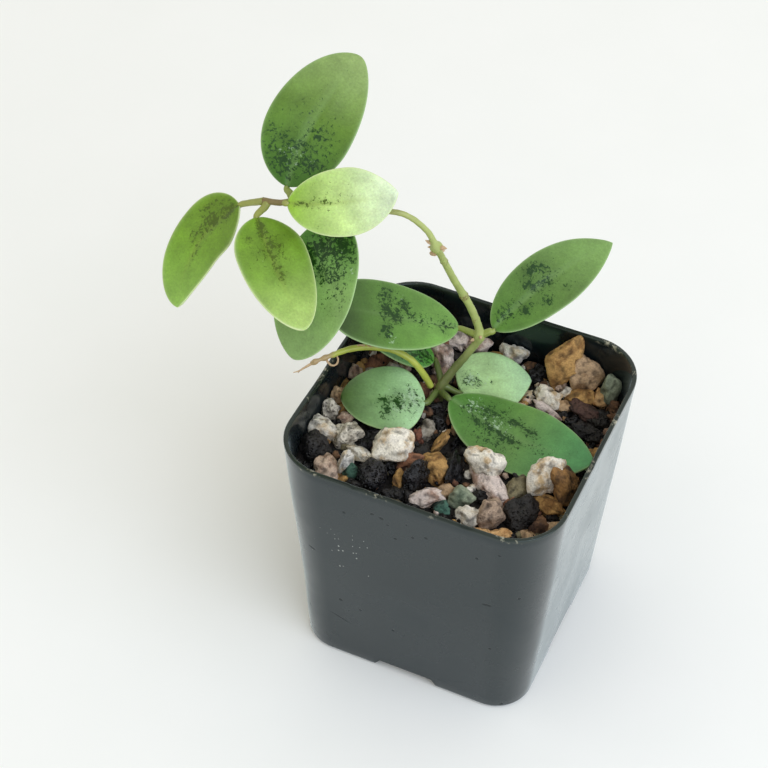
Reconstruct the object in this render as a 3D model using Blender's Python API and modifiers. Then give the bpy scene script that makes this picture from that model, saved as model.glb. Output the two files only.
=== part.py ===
"""A young hoya in a square nursery pot of potting grit.

Metres, +Z up. The pot stands on Z = 0. Routes and leaf feet are given in millimetres from the
centre of the pot's base, and MM turns them into metres. The pot's centre is set back from the
world's origin, so that the origin lies under the middle of the whole plant's bounding box.
"""

import math
import random

import bmesh
import bpy
from mathutils import Euler, Matrix, Vector

MM = 0.001
GAP = 0.3 * MM  # left between pieces that touch

# The pot's centre, seen from the middle of the bounding box
POT_CENTRE = Vector((19.3, -8.6, 0)) * MM

# Pot: a tapered square with rounded corners, on four corner feet
POT_HEIGHT = 76 * MM
POT_TOP_HALF = 37.5 * MM
POT_BOTTOM_HALF = 32 * MM
POT_TOP_RADIUS = 13.8 * MM
POT_BOTTOM_RADIUS = 10 * MM
POT_WALL = 1.2 * MM
POT_FLOOR = 1.4 * MM
BASE_ROUND = 1.2 * MM
BASE_ROUND_STEPS = 3
CORNER_STEPS = 6
CHANNEL_HEIGHT = 3 * MM
CHANNEL_HALF = 7.5 * MM
CHANNEL_FLARE = 2.0 * MM
CHANNEL_EDGE = 0.2 * MM
CENTRE_HOLE = 4 * MM
ARM_HOLE = 3 * MM
ARM_HOLE_REACH = 19 * MM
HOLE_CUT = 10 * MM  # length of the cutter that drills a drain hole

# Potting grit
BED_MIDDLE = 62.5 * MM  # the grit's surface at the pot's centre
BED_SLOPE = 0.05  # it falls this much towards +X and towards +Y
BED_CLIP = 75 * MM
STEM_HOLE_CUT = 40 * MM  # from the stem's foot to above the highest stone
GRIT_SEED = 11
GRIT_TRIES = 1500
GRIT_RADIUS = (1.7, 3.1)
GRIT_LIFT = (-0.6, 0.0)  # how far a stone's centre lies over the bed, in radii
GRIT_SPACING = 0.78
LEAF_CLEARANCE = 1.5
SAMPLES_ALONG = 16  # points at which a blade's clearance from the grit is looked at
SAMPLES_ACROSS = 6
STONE_TILT = 0.4  # the most that a chosen stone leans, in radians
GRIT_TILT = 0.6
CROWN_CLEARANCE = 4.5
LEAST_SHOWING = 0.8
STONE_DENTS = (0.9, 1.15)  # the coarse ball's corners, as shares of the half-size

# The larger stones that lie on top: x, y, height of the centre over the bed, then the
# half-sizes along the stone's own axes and its turn in degrees about Z.
STONES = (
    (-12.9, -13.7, 3.6, 5.4, 4.4, 4.3, 20),
    (10.1, -8.7, 5.3, 5.4, 3.7, 5.1, -15),
    (13.2, -12.8, 1.6, 6.2, 2.6, 2.1, -40),
    (20.1, -10.4, 1.2, 2.8, 3.6, 3.1, -20),
    (23.2, -17.5, 0.8, 4.1, 4.3, 3.9, 10),
    (28.3, -11.6, 1.6, 5, 2.6, 2.1, -20),
    (25.5, -7.4, 6.4, 4.7, 3.3, 6.2, 35),
    (30.6, -6.5, 5.3, 2.9, 4.2, 5.6, 20),
    (17.1, -21.4, 1.4, 3.1, 3.8, 3.5, 10),
    (12.1, -24.3, 1, 3.2, 2.6, 2.4, 0),
    (7.9, -19.6, 1.2, 3, 2.4, 2.4, 15),
    (4.9, -24.9, 0.6, 2.3, 1.7, 1.5, 0),
    (0.6, -24.3, 1.4, 4.1, 2, 2.3, 35),
    (-4.1, -20, 1.6, 2, 4.3, 4.9, -15),
    (-1.3, -13.5, 1.6, 3.3, 4.4, 3.3, 25),
    (-8, -14.8, 1.2, 3.3, 2.2, 2.5, 30),
    (-1.1, -0.5, -1.4, 1.2, 3, 2.8, -5),
    (2.7, -11.6, 0.8, 1.6, 4.4, 4.2, 5),
    (-4, -4.6, 1.2, 1.3, 3.4, 4, -10),
    (-8.9, -1.8, 0.4, 2.3, 2.5, 2.6, 0),
    (-9.8, -5.6, 0.8, 1.3, 2.2, 2.5, 10),
    (-14.5, -23.7, 1.4, 3.8, 3.3, 3.6, 15),
    (-19.9, -24.6, 0.8, 1.2, 2.1, 3.4, -35),
    (-15.7, -16.9, 0.8, 1.9, 1.3, 1.3, 23),
    (-22.1, -23.3, 1.8, 1.2, 3.1, 6, -10),
    (-20.2, -18, 1.2, 4, 1.6, 1.7, -25),
    (-25.6, -26.8, 1.2, 3, 3.5, 2.8, 20),
    (-31.7, -21.2, 0.4, 4.1, 4, 3.5, 15),
    (-32.8, -14.9, 1.8, 3.5, 2.9, 3, -20),
    (-26, -13.6, 1.4, 3.3, 3, 2.9, 10),
    (-33.6, -7.8, 1.9, 2.4, 2.4, 2.6, 10),
    (-33.8, -2.1, 2, 2.1, 1.9, 2.5, 0),
    (-29.3, -8, 0.8, 2.2, 1.7, 1.4, 15),
    (-7.9, -26.8, 0.8, 2.7, 2.2, 1.9, 23),
    (-7.7, -21.5, 0.6, 1.7, 2.4, 2.6, 0),
    (17, -27.1, 0.4, 2.2, 1.3, 1.2, 0),
    (21.8, -25.6, 0.6, 2.8, 1.6, 1.3, 25),
    (19.6, -15.7, 0.8, 1.2, 1.2, 2.1, 10),
    (8.9, 23.9, -2, 2.4, 2.2, 2.6, 0),
    (14.5, 24.2, 1.4, 3.5, 2.7, 2.3, -20),
    (15.8, 19.8, 0.8, 4.2, 1.2, 1.3, -15),
    (9.1, 30.8, -0.5, 2.9, 2.8, 3.2, 0),
    (14.7, 30.6, 1, 3.1, 1.9, 1.5, -30),
    (18.9, 28.4, 1, 2.3, 1.6, 1.5, 30),
    (15.7, 32.4, 7.6, 4.3, 3.5, 6.5, 15),
    (21.5, 32.5, 5, 3.9, 2.7, 5.5, 40),
    (29.2, 32.5, 4.1, 2.9, 3, 4.6, 20),
    (22.4, 28.2, 1.2, 3.4, 2.4, 2.7, 15),
    (26.8, 30.3, 1, 2.1, 2.4, 2.4, 30),
    (25.6, 23.7, 1.4, 5.1, 2.6, 1.9, -10),
    (19.3, 23.3, 0.8, 2.1, 1.8, 1.5, 23),
    (31.7, 29.2, 0.8, 2.1, 2.1, 2.1, 23),
    (1.1, 34.1, 2.4, 3.1, 2.2, 2.9, 20),
    (-8.6, 32.7, 1.8, 3.1, 2, 2.3, 15),
    (-14, 32.2, 1.4, 3.1, 2.4, 2.4, 0),
    (-15.9, 24.2, 1.6, 3.1, 3.1, 3.7, 20),
    (-33.9, 8.5, 0.5, 1.9, 2, 2.3, 0),
    (26.6, 17.3, 0.8, 2.8, 2.7, 2.6, 23),
    (29.6, 22.8, 0.8, 2.7, 2.7, 2.7, 23),
    (30.8, 16.8, 0.8, 2.4, 2.3, 2.2, 23),
    (32.2, 24.2, 0.8, 1.8, 2.2, 2.6, 23),
    (-9.3, 6.6, 0.8, 2.1, 1.9, 1.7, 23),
    (-11.7, 4.7, 0.8, 1.8, 1.6, 1.4, 23),
    (-20.2, -9.8, 0.8, 2.6, 1.7, 1.3, 23),
    (-11.8, -18.4, 0.8, 1.7, 1.4, 1.3, 23),
    (11.9, -16.2, 0.8, 1.7, 1.5, 1.3, 23),
    (0.4, 22.5, -0.4, 2.4, 2, 1.6, 23),
    (0.2, 30.3, 0.4, 2.1, 1.9, 1.7, 23),
)

# Stem routes in millimetres, each point with the stem's radius there
CLIMBING_ROUTE = (
    ((-11.6, 11.7, 48), 1.7),
    ((-11.5, 11.7, 62), 1.7),
    ((-11.1, 12.1, 66), 1.55),
    ((-8.9, 15.0, 70.5), 1.35),
    ((-6.2, 17.2, 75.5), 1.3),
    ((-4.0, 19.4, 81), 1.3),
    ((-5.8, 19.3, 88), 1.15),
    ((-8.3, 17.8, 95), 1.1),
    ((-10.0, 15.3, 101.5), 1.05),
    ((-11.5, 13.0, 108), 1.0),
    ((-13.1, 9.6, 116.5), 0.95),
    ((-15.2, 8.3, 122), 0.8),
    ((-18.9, 5.5, 127.5), 0.75),
    ((-22.9, 3.9, 128.8), 0.75),
    ((-29.5, 3.0, 127.2), 0.75),
    ((-37.5, 1.4, 126.2), 0.75),
    ((-46.3, -1.0, 126.8), 0.8),
    ((-50.0, -1.6, 125.8), 0.8),
    ((-54.2, -1.4, 124.6), 0.75),
)
# Swellings where leaves sit or once sat: place, and how far they stand out
CLIMBING_NODES = (
    ((-4.0, 19.4, 81), 0.55),
    ((-8.3, 17.8, 95), 0.15),
    ((-13.1, 9.6, 116.5), 0.75),
    ((-37.5, 1.4, 126.2), 0.35),
    ((-46.3, -1.0, 126.8), 0.45),
    ((-54.2, -1.4, 124.6), 0.15),
)
CLIMBING_BUDS = (
    ((-13.8, 10.3, 113.3), 0.85),
    ((-11.6, 9.5, 117.0), 0.65),
    ((-14.6, 8.7, 117.9), 0.6),
)
RUNNER_ROUTE = (
    ((-13.5, 10.9, 66.3), 0.95),
    ((-14.9, 10.4, 69.6), 0.95),
    ((-17.4, 9.4, 74.2), 0.95),
    ((-20.2, 8.8, 76.6), 0.95),
    ((-23.5, 7.6, 78.4), 0.95),
    ((-26.8, 5.8, 79.4), 0.92),
    ((-30.0, 3.7, 80), 0.9),
    ((-32.9, 1.4, 80), 0.9),
    ((-35.7, -1.5, 79.6), 0.85),
    ((-38.2, -4.1, 79.1), 0.8),
    ((-39.8, -5.8, 78.6), 0.6),
)
RUNNER_NODES = (
    ((-36.8, -2.6, 79.4), 0.2),
    ((-39.4, -5.4, 78.8), 0.35),
)
NODE_REACH = 1.4
STEM_STEP = 1.6

# Every leaf: where its petiole leaves the stem and the foot of its blade (millimetres from the
# pot's centre); the blade's heading, pitch and roll (degrees); its length and width; how far
# it droops and bends sideways from foot to tip (degrees); how much its edges rise, as a share
# of the half-width; where along its length it is widest; and how sharply it tapers from there,
# from 0.5 for a round tip to 1 for a pointed one.
LEAVES = {
    "leaf_node_left": dict(
        joint=(-4.0, 19.4, 81), foot=(-10, 20, 81), turn=(208, 14, -13),
        length=35, width=20.5, droop=-7, bend=2, cup=0.05, widest=0.61, taper=0.34),
    "leaf_node_right": dict(
        joint=(-4.0, 19.4, 81), foot=(-0.8, 21.1, 83), turn=(60, 33, 18),
        length=40.5, width=16.5, droop=34, bend=-12, cup=0.10, widest=0.46, taper=0.92),
    "leaf_top": dict(
        joint=(-46.3, -1.0, 126.8), foot=(-49.2, 1.2, 129), turn=(91, 50, 8),
        length=37, width=22, droop=25, bend=-26, cup=0.06, widest=0.41, taper=0.63),
    "leaf_hanging": dict(
        joint=(-37.5, 1.4, 126.2), foot=(-38, 4.5, 121.5), turn=(282, -27, 19),
        length=37, width=22, droop=19, bend=-19, cup=0.06, widest=0.54, taper=0.65),
    "leaf_tip_left": dict(
        joint=(-54.2, -1.4, 124.6), foot=(-60.6, -2.2, 121.6), turn=(214, -34, -13),
        length=31, width=18, droop=8, bend=63, cup=0.12, widest=0.32, taper=0.69),
    "leaf_tip_centre": dict(
        joint=(-53.0, -1.45, 124.95), foot=(-54.5, -4.7, 121.8), turn=(312, -20, -7),
        length=32, width=18, droop=0, bend=12, cup=0.12, widest=0.37, taper=0.59),
    "leaf_tip_right": dict(
        joint=(-46.3, -1.0, 126.8), foot=(-46, -5.2, 130), turn=(16, 2, 43),
        length=27, width=16.5, droop=-3, bend=20, cup=0.12, widest=0.54, taper=0.78),
    "leaf_crown_left": dict(
        joint=(-11.5, 11.7, 64.6), foot=(-12.1, 4.1, 67.4), turn=(206, 13, -11),
        length=22, width=20, droop=15, bend=4, cup=-0.04, widest=0.35, taper=0.62),
    "leaf_crown_front": dict(
        joint=(-11.4, 11.8, 64.6), foot=(-6.5, 7.4, 67.9), turn=(-9, -20, 4),
        length=42, width=21.5, droop=-33, bend=12, cup=0.05, widest=0.52, taper=0.8),
    "leaf_crown_right": dict(
        joint=(-11.1, 12.1, 66.4), foot=(-6.2, 14.2, 64.2), turn=(55, 0, 7),
        length=20, width=20.5, droop=5, bend=-29, cup=0.03, widest=0.4, taper=0.79),
    "leaf_crown_back": dict(
        joint=(-10.9, 12.4, 67.2), foot=(-16.6, 20.5, 66.0), turn=(204, 36, 0),
        length=26, width=15.5, droop=11, bend=-4, cup=0.03, widest=0.45, taper=0.8),
}
YOUNG_LEAVES = ("leaf_tip_left", "leaf_tip_centre", "leaf_tip_right")
BLADE_THICKNESS = 1.2 * MM
BLADE_LENGTH_STEPS = 12
BLADE_WIDTH_STEPS = 4
FRAME_STEPS = 24  # pieces that a leaf's midrib is reckoned in
PETIOLE_FOOT = 0.93  # the petiole's radius at the stem, in its middle and under the blade
PETIOLE_RADIUS = 0.85
PETIOLE_END = 0.6
PETIOLE_BEND = (-0.6, 0, -0.2)  # its middle, seen from the foot of the blade
PETIOLE_SINK = 0.13  # share of the blade that the petiole's end runs under
PETIOLE_STEP = 1.2
TUBE_GAP = 0.5  # between the petiole and the stem, whose flat sides fall inside the true round


def clear_scene():
    for obj in list(bpy.data.objects):
        bpy.data.objects.remove(obj, do_unlink=True)


def new_collection(name):
    collection = bpy.data.collections.new(name)
    bpy.context.scene.collection.children.link(collection)
    return collection


def material(name, colour, roughness, metallic=0.0):
    made = bpy.data.materials.new(name)
    made.use_nodes = True
    shader = made.node_tree.nodes["Principled BSDF"]
    shader.inputs["Base Color"].default_value = (*colour, 1)
    shader.inputs["Roughness"].default_value = roughness
    shader.inputs["Metallic"].default_value = metallic
    return made


def add_object(name, data, collection, finish=None):
    obj = bpy.data.objects.new(name, data)
    collection.objects.link(obj)
    obj.parent = pot_centre
    if finish:
        obj.data.materials.append(finish)
    return obj


def mesh_from(name, bm):
    mesh = bpy.data.meshes.new(name)
    bmesh.ops.recalc_face_normals(bm, faces=bm.faces)
    bm.to_mesh(mesh)
    bm.free()
    return mesh


def helper(name, mesh):
    """A cutter or a shape to be joined: shown as wire, and never rendered."""
    obj = add_object(name, mesh, helpers)
    obj.hide_render = True
    obj.display_type = "WIRE"
    return obj


def boolean(obj, other, operation, solver="EXACT"):
    modifier = obj.modifiers.new(f"{operation.lower()} {other.name}", "BOOLEAN")
    modifier.operation = operation
    modifier.solver = solver
    if isinstance(other, bpy.types.Collection):
        modifier.operand_type = "COLLECTION"
        modifier.collection = other
    else:
        modifier.object = other


def apply_modifiers(obj):
    """Replaces the object's mesh by what its modifiers make of it."""
    bpy.context.view_layer.update()
    evaluated = obj.evaluated_get(bpy.context.evaluated_depsgraph_get())
    mesh = bpy.data.meshes.new_from_object(evaluated)
    obj.modifiers.clear()
    obj.data = mesh


def ring(half_x, half_y, radius, z, steps=CORNER_STEPS):
    """The points of a rounded rectangle at height z, anticlockwise from above."""
    points = []
    for quarter, (sign_x, sign_y) in enumerate(((1, 1), (-1, 1), (-1, -1), (1, -1))):
        centre = Vector((sign_x * (half_x - radius), sign_y * (half_y - radius), z))
        for step in range(steps + 1):
            angle = math.pi / 2 * (quarter + step / steps)
            points.append(centre + radius * Vector((math.cos(angle), math.sin(angle), 0)))
    return points


def loft(name, rings):
    """A closed body through rings that have the same number of points, from the lowest up."""
    bm = bmesh.new()
    levels = [[bm.verts.new(point) for point in points] for points in rings]
    for low, high in zip(levels, levels[1:]):
        for i in range(len(low)):
            j = (i + 1) % len(low)
            bm.faces.new((low[i], low[j], high[j], high[i]))
    bm.faces.new(levels[0][::-1])
    bm.faces.new(levels[-1])
    return mesh_from(name, bm)


def pot_section(z, inset=0.0):
    """The pot's outline at height z, moved in by inset."""
    share = z / POT_HEIGHT
    half = POT_BOTTOM_HALF + (POT_TOP_HALF - POT_BOTTOM_HALF) * share - inset
    radius = POT_BOTTOM_RADIUS + (POT_TOP_RADIUS - POT_BOTTOM_RADIUS) * share - inset
    return ring(half, half, radius, z)


def base_rings(z, inset, round_radius):
    """Sections that round the lower edge of the outline over a quarter circle."""
    rings = []
    for step in range(BASE_ROUND_STEPS + 1):
        angle = math.pi / 2 * step / BASE_ROUND_STEPS
        height = z + round_radius * (1 - math.cos(angle))
        rings.append(pot_section(height, inset + round_radius * (1 - math.sin(angle))))
    return rings


def bed_height(x, y):
    """The height of the grit's surface over a place in the pot."""
    return BED_MIDDLE - BED_SLOPE * (x + y)


def bed_edge(inset):
    """The line where the sloping surface of the grit meets the wall."""
    level = pot_section(BED_MIDDLE, inset)
    heights = [bed_height(point.x, point.y) for point in level]
    return [pot_section(height, inset)[i] for i, height in enumerate(heights)]


def inside_of_pot(name, clearance, top=None):
    """What fills the pot, up to a height or to the grit's surface, clear of the pot itself."""
    inset = POT_WALL + clearance
    floor = POT_FLOOR + clearance
    rings = base_rings(floor, inset, BASE_ROUND)
    rings.append(pot_section(top, inset) if top else bed_edge(inset))
    filling = helper(name, loft(name, rings))
    for arm in channel_cross(f"{name} cross", POT_WALL + clearance, floor):
        boolean(filling, arm, "DIFFERENCE")
    return filling


def channel_cross(name, grow, raise_by):
    """The two crossing channels under the floor, as prisms that narrow upwards."""
    top = CHANNEL_HEIGHT + raise_by
    reach = 2 * POT_BOTTOM_HALF
    wide = CHANNEL_HALF + CHANNEL_FLARE + grow
    narrow = CHANNEL_HALF + grow
    edge = CHANNEL_EDGE
    along_x = [ring(reach, wide, edge, 0, 1), ring(reach, narrow, edge, top, 1)]
    along_y = [ring(wide, reach, edge, 0, 1), ring(narrow, reach, edge, top, 1)]
    for rings in (along_x, along_y):
        below = [Vector((point.x, point.y, -MM)) for point in rings[0]]
        rings.insert(0, below)
    return [
        helper(f"{name} x", loft(f"{name} x", along_x)),
        helper(f"{name} y", loft(f"{name} y", along_y)),
    ]


def drain_hole(name, x, y, radius):
    bm = bmesh.new()
    bmesh.ops.create_cone(
        bm, cap_ends=True, segments=16, radius1=radius, radius2=radius, depth=HOLE_CUT,
        matrix=Matrix.Translation((x, y, CHANNEL_HEIGHT)))
    return helper(name, mesh_from(name, bm))


def make_pot():
    rings = base_rings(0, 0, BASE_ROUND) + [pot_section(POT_HEIGHT)]
    pot = add_object("pot", loft("pot", rings), parts, material("black polypropylene",
                     (0.035, 0.042, 0.045), 0.3))
    boolean(pot, inside_of_pot("cavity", 0, POT_HEIGHT + MM), "DIFFERENCE")
    for arm in channel_cross("channel", 0, 0):
        boolean(pot, arm, "DIFFERENCE")
    boolean(pot, drain_hole("centre hole", 0, 0, CENTRE_HOLE), "DIFFERENCE")
    for quarter in range(4):
        x = ARM_HOLE_REACH * math.cos(quarter * math.pi / 2)
        y = ARM_HOLE_REACH * math.sin(quarter * math.pi / 2)
        boolean(pot, drain_hole(f"arm hole {quarter}", x, y, ARM_HOLE), "DIFFERENCE")


def smooth_route(points, step=STEM_STEP):
    """Catmull-Rom points through the route, about one step apart, with the radii between."""
    places = [Vector(place) for place, _ in points]
    radii = [radius for _, radius in points]
    places = [2 * places[0] - places[1], *places, 2 * places[-1] - places[-2]]
    route = []
    for i in range(1, len(places) - 2):
        before, start, end, after = places[i - 1:i + 3]
        pieces = max(2, round((end - start).length / step))
        for piece in range(pieces):
            t = piece / pieces
            place = 0.5 * (
                2 * start + (end - before) * t
                + (2 * before - 5 * start + 4 * end - after) * t ** 2
                + (3 * start - before - 3 * end + after) * t ** 3)
            route.append((place, radii[i - 1] * (1 - t) + radii[i] * t))
    route.append((places[-2], radii[-1]))
    return route


def swollen(route, nodes):
    """The route with its radius raised round each node."""
    result = []
    for place, radius in route:
        for node, rise in nodes:
            away = (place - Vector(node)).length / NODE_REACH
            radius += rise * math.exp(-away * away)
        result.append((place, radius))
    return result


def tube(name, route):
    """A closed mesh tube along a route of places and radii, made from a bevelled curve."""
    curve = bpy.data.curves.new(name, "CURVE")
    curve.dimensions = "3D"
    curve.bevel_depth = MM
    curve.bevel_resolution = 2
    curve.use_fill_caps = True
    spline = curve.splines.new("POLY")
    spline.points.add(len(route) - 1)
    for point, (place, radius) in zip(spline.points, route):
        point.co = (*(place * MM), 1)
        point.radius = radius
    holder = bpy.data.objects.new(name, curve)
    helpers.objects.link(holder)
    bpy.context.view_layer.update()
    evaluated = holder.evaluated_get(bpy.context.evaluated_depsgraph_get())
    mesh = bpy.data.meshes.new_from_object(evaluated)
    bpy.data.objects.remove(holder)
    bm = bmesh.new()
    bm.from_mesh(mesh)
    bmesh.ops.remove_doubles(bm, verts=bm.verts, dist=1e-6)
    bpy.data.meshes.remove(mesh)
    return mesh_from(name, bm)


def make_climbing_stem():
    route = swollen(smooth_route(CLIMBING_ROUTE), CLIMBING_NODES)
    stem = add_object("climbing_stem", tube("climbing_stem", route), parts,
                      material("green stem", (0.19, 0.27, 0.05), 0.5))
    for i, (place, radius) in enumerate(CLIMBING_BUDS):
        bm = bmesh.new()
        bmesh.ops.create_icosphere(bm, subdivisions=1, radius=radius * MM,
                                   matrix=Matrix.Translation(Vector(place) * MM))
        boolean(stem, helper(f"bud {i}", mesh_from(f"bud {i}", bm)), "UNION")


def make_runner():
    route = swollen(smooth_route(RUNNER_ROUTE), RUNNER_NODES)
    add_object("bare_runner", tube("bare_runner", route), parts,
               material("yellow-green stem", (0.33, 0.4, 0.08), 0.5))


def half_width(leaf, t):
    """The half-width at t along a leaf, as a share of the largest: a full foot, then the taper."""
    widest = leaf["widest"]
    if t < widest:
        return max(0.0, 1 - ((widest - t) / widest) ** 2.2) ** 0.62
    return max(0.0, 1 - ((t - widest) / (1 - widest)) ** 2) ** leaf["taper"]


def blade_frames(leaf, steps=FRAME_STEPS):
    """The midrib in the leaf's own space: its points, with the side and the face direction."""
    droop, bend = math.radians(leaf["droop"]), math.radians(leaf["bend"])

    def direction(t):
        flat = math.cos(droop * t)
        return Vector((math.cos(bend * t) * flat, math.sin(bend * t) * flat, -math.sin(droop * t)))

    place = Vector()
    frames = []
    for i in range(steps + 1):
        t = i / steps
        side = Vector((-math.sin(bend * t), math.cos(bend * t), 0))
        frames.append((place.copy(), side, direction(t).cross(side)))
        place += direction(t + 0.5 / steps) * leaf["length"] / steps
    return frames


def leaf_matrix(leaf):
    """From the leaf's own space to the pot's, both in millimetres."""
    heading, pitch, roll = (math.radians(angle) for angle in leaf["turn"])
    turn = Euler((roll, -pitch, heading)).to_matrix().to_4x4()
    return Matrix.Translation(Vector(leaf["foot"])) @ turn


def blade_point(leaf, frames, along, across, narrowest=0.3):
    """A point of the blade's middle surface: along from 0 to 1, across from -1 to 1."""
    position = along * (len(frames) - 1)
    i = min(int(position), len(frames) - 2)
    place, side, face = (a.lerp(b, position - i) for a, b in zip(frames[i], frames[i + 1]))
    half = max(narrowest, leaf["width"] / 2 * half_width(leaf, along))
    return place + side * half * across + face * leaf["cup"] * half * across ** 2


def blade_mesh(name, leaf):
    """A flat grid laid on the blade's middle surface, in metres in the leaf's own space."""
    frames = blade_frames(leaf)
    bm = bmesh.new()
    bmesh.ops.create_grid(
        bm, x_segments=BLADE_LENGTH_STEPS, y_segments=BLADE_WIDTH_STEPS, size=0.5)
    bmesh.ops.triangulate(bm, faces=bm.faces)
    for vert in bm.verts:
        along = 0.5 - 0.5 * math.cos(math.pi * (vert.co.x + 0.5))
        vert.co = blade_point(leaf, frames, along, 2 * vert.co.y) * MM
    return mesh_from(name, bm)


def petiole_route(leaf, to_pot):
    """From just off the stem to a place under the blade, in millimetres from the pot's centre."""
    joint, foot = Vector(leaf["joint"]), Vector(leaf["foot"])
    outward = (foot - joint).normalized()
    stem_radius, stem_direction = stem_at(joint)
    lean = outward.dot(stem_direction)
    slant = math.sqrt(1 - lean * lean)
    clear = (stem_radius + TUBE_GAP + PETIOLE_FOOT * abs(lean)) / slant
    if leaf["joint"] == CLIMBING_ROUTE[-1][0] and lean > 0:
        clear = min(clear, (TUBE_GAP + PETIOLE_FOOT * slant) / lean)
    under = blade_point(leaf, blade_frames(leaf), PETIOLE_SINK, 0)
    under.z -= BLADE_THICKNESS / MM / 4
    return smooth_route((
        (joint + outward * clear, PETIOLE_FOOT),
        (to_pot @ Vector(PETIOLE_BEND), PETIOLE_RADIUS),
        (to_pot @ under, PETIOLE_END)), PETIOLE_STEP)


def stem_at(place):
    """The climbing stem's radius and direction at the point of its route nearest to a place."""
    route = swollen(smooth_route(CLIMBING_ROUTE), CLIMBING_NODES)
    nearest = min(range(len(route)), key=lambda i: (route[i][0] - place).length)
    before, after = route[max(0, nearest - 1)][0], route[min(len(route) - 1, nearest + 1)][0]
    return route[nearest][1], (after - before).normalized()


def make_leaf(name, leaf, finish):
    to_pot = leaf_matrix(leaf)
    obj = add_object(name, blade_mesh(name, leaf), parts, finish)
    solidify = obj.modifiers.new("thickness", "SOLIDIFY")
    solidify.thickness = BLADE_THICKNESS
    solidify.offset = 0
    obj.location = to_pot.to_translation() * MM
    obj.rotation_euler = to_pot.to_euler()
    petiole = helper(f"{name} petiole", tube(f"{name} petiole", petiole_route(leaf, to_pot)))
    boolean(obj, petiole, "UNION", "MANIFOLD")
    apply_modifiers(obj)
    bpy.data.objects.remove(petiole)
    obj.data.shade_smooth()
    obj.data.set_sharp_from_angle(angle=math.radians(40))


def blade_samples():
    """Points all over every blade, in millimetres from the pot's centre."""
    samples = []
    for leaf in LEAVES.values():
        frames = blade_frames(leaf)
        to_pot = leaf_matrix(leaf)
        for i in range(SAMPLES_ALONG + 1):
            for j in range(SAMPLES_ACROSS + 1):
                along, across = i / SAMPLES_ALONG, 2 * j / SAMPLES_ACROSS - 1
                samples.append(to_pot @ blade_point(leaf, frames, along, across))
    return samples


def room_above(place, radii, obstacles):
    """How far the stone must sink to stay under the leaves and stems over it."""
    sink = 0.0
    reach = max(radii[0], radii[1]) + LEAF_CLEARANCE
    for obstacle in obstacles:
        away = math.hypot(obstacle.x - place.x, obstacle.y - place.y) / reach
        if away < 1:
            top = place.z + (radii[2] + LEAF_CLEARANCE) * math.sqrt(1 - away * away)
            sink = max(sink, top - obstacle.z + LEAF_CLEARANCE)
    return sink


def on_bed(x, y, lift):
    """The point this far over the grit's surface, in millimetres."""
    return Vector((x, y, lift + bed_height(x * MM, y * MM) / MM))


def lay_stones():
    """Each stone's centre, half-sizes and turn: the chosen ones, then grit in the room left."""
    rng = random.Random(GRIT_SEED)
    obstacles = blade_samples()
    obstacles += [place for place, _ in smooth_route(CLIMBING_ROUTE[2:] + RUNNER_ROUTE)]
    crown = Vector(CLIMBING_ROUTE[1][0])
    stones = []
    for x, y, lift, a, b, c, turn in STONES:
        lean = [rng.uniform(-STONE_TILT, STONE_TILT) for _ in range(2)]
        tilt = (*lean, math.radians(turn))
        stones.append([on_bed(x, y, lift), (a, b, c), tilt])
    half = (POT_BOTTOM_HALF + POT_TOP_HALF) / 2 / MM
    for _ in range(GRIT_TRIES):
        radius = rng.uniform(*GRIT_RADIUS)
        lift = rng.uniform(*GRIT_LIFT) * radius
        place = on_bed(rng.uniform(-half, half), rng.uniform(-half, half), lift)
        radii = tuple(radius * rng.uniform(0.8, 1.25) for _ in range(3))
        lean = [rng.uniform(-GRIT_TILT, GRIT_TILT) for _ in range(2)]
        tilt = (*lean, rng.uniform(0, math.pi))
        crowded = any(
            math.hypot(place.x - other.x, place.y - other.y)
            < GRIT_SPACING * (radius + (size[0] + size[1]) / 2)
            for other, size, _ in stones)
        if crowded or (place - crown).xy.length < CROWN_CLEARANCE:
            continue
        stones.append([place, radii, tilt])
    chosen, filling = stones[:len(STONES)], stones[len(STONES):]
    for stone in filling:
        stone[0].z -= room_above(stone[0], stone[1], obstacles)
    return chosen + [
        stone for stone in filling
        if stone[0].z + stone[1][2] > on_bed(stone[0].x, stone[0].y, LEAST_SHOWING).z]


def stone_mesh(name, place, radii, tilt, rng):
    """A rough stone: a coarse ball, dented at random, stretched and turned."""
    bm = bmesh.new()
    bmesh.ops.create_icosphere(bm, subdivisions=1, radius=1)
    for vert in bm.verts:
        vert.co *= rng.uniform(*STONE_DENTS)
    size = Matrix.Diagonal((*radii, 1))
    place_it = Matrix.Translation(place) @ Euler(tilt).to_matrix().to_4x4() @ size
    bmesh.ops.transform(bm, matrix=Matrix.Scale(MM, 4) @ place_it, verts=bm.verts)
    return mesh_from(name, bm)


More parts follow.
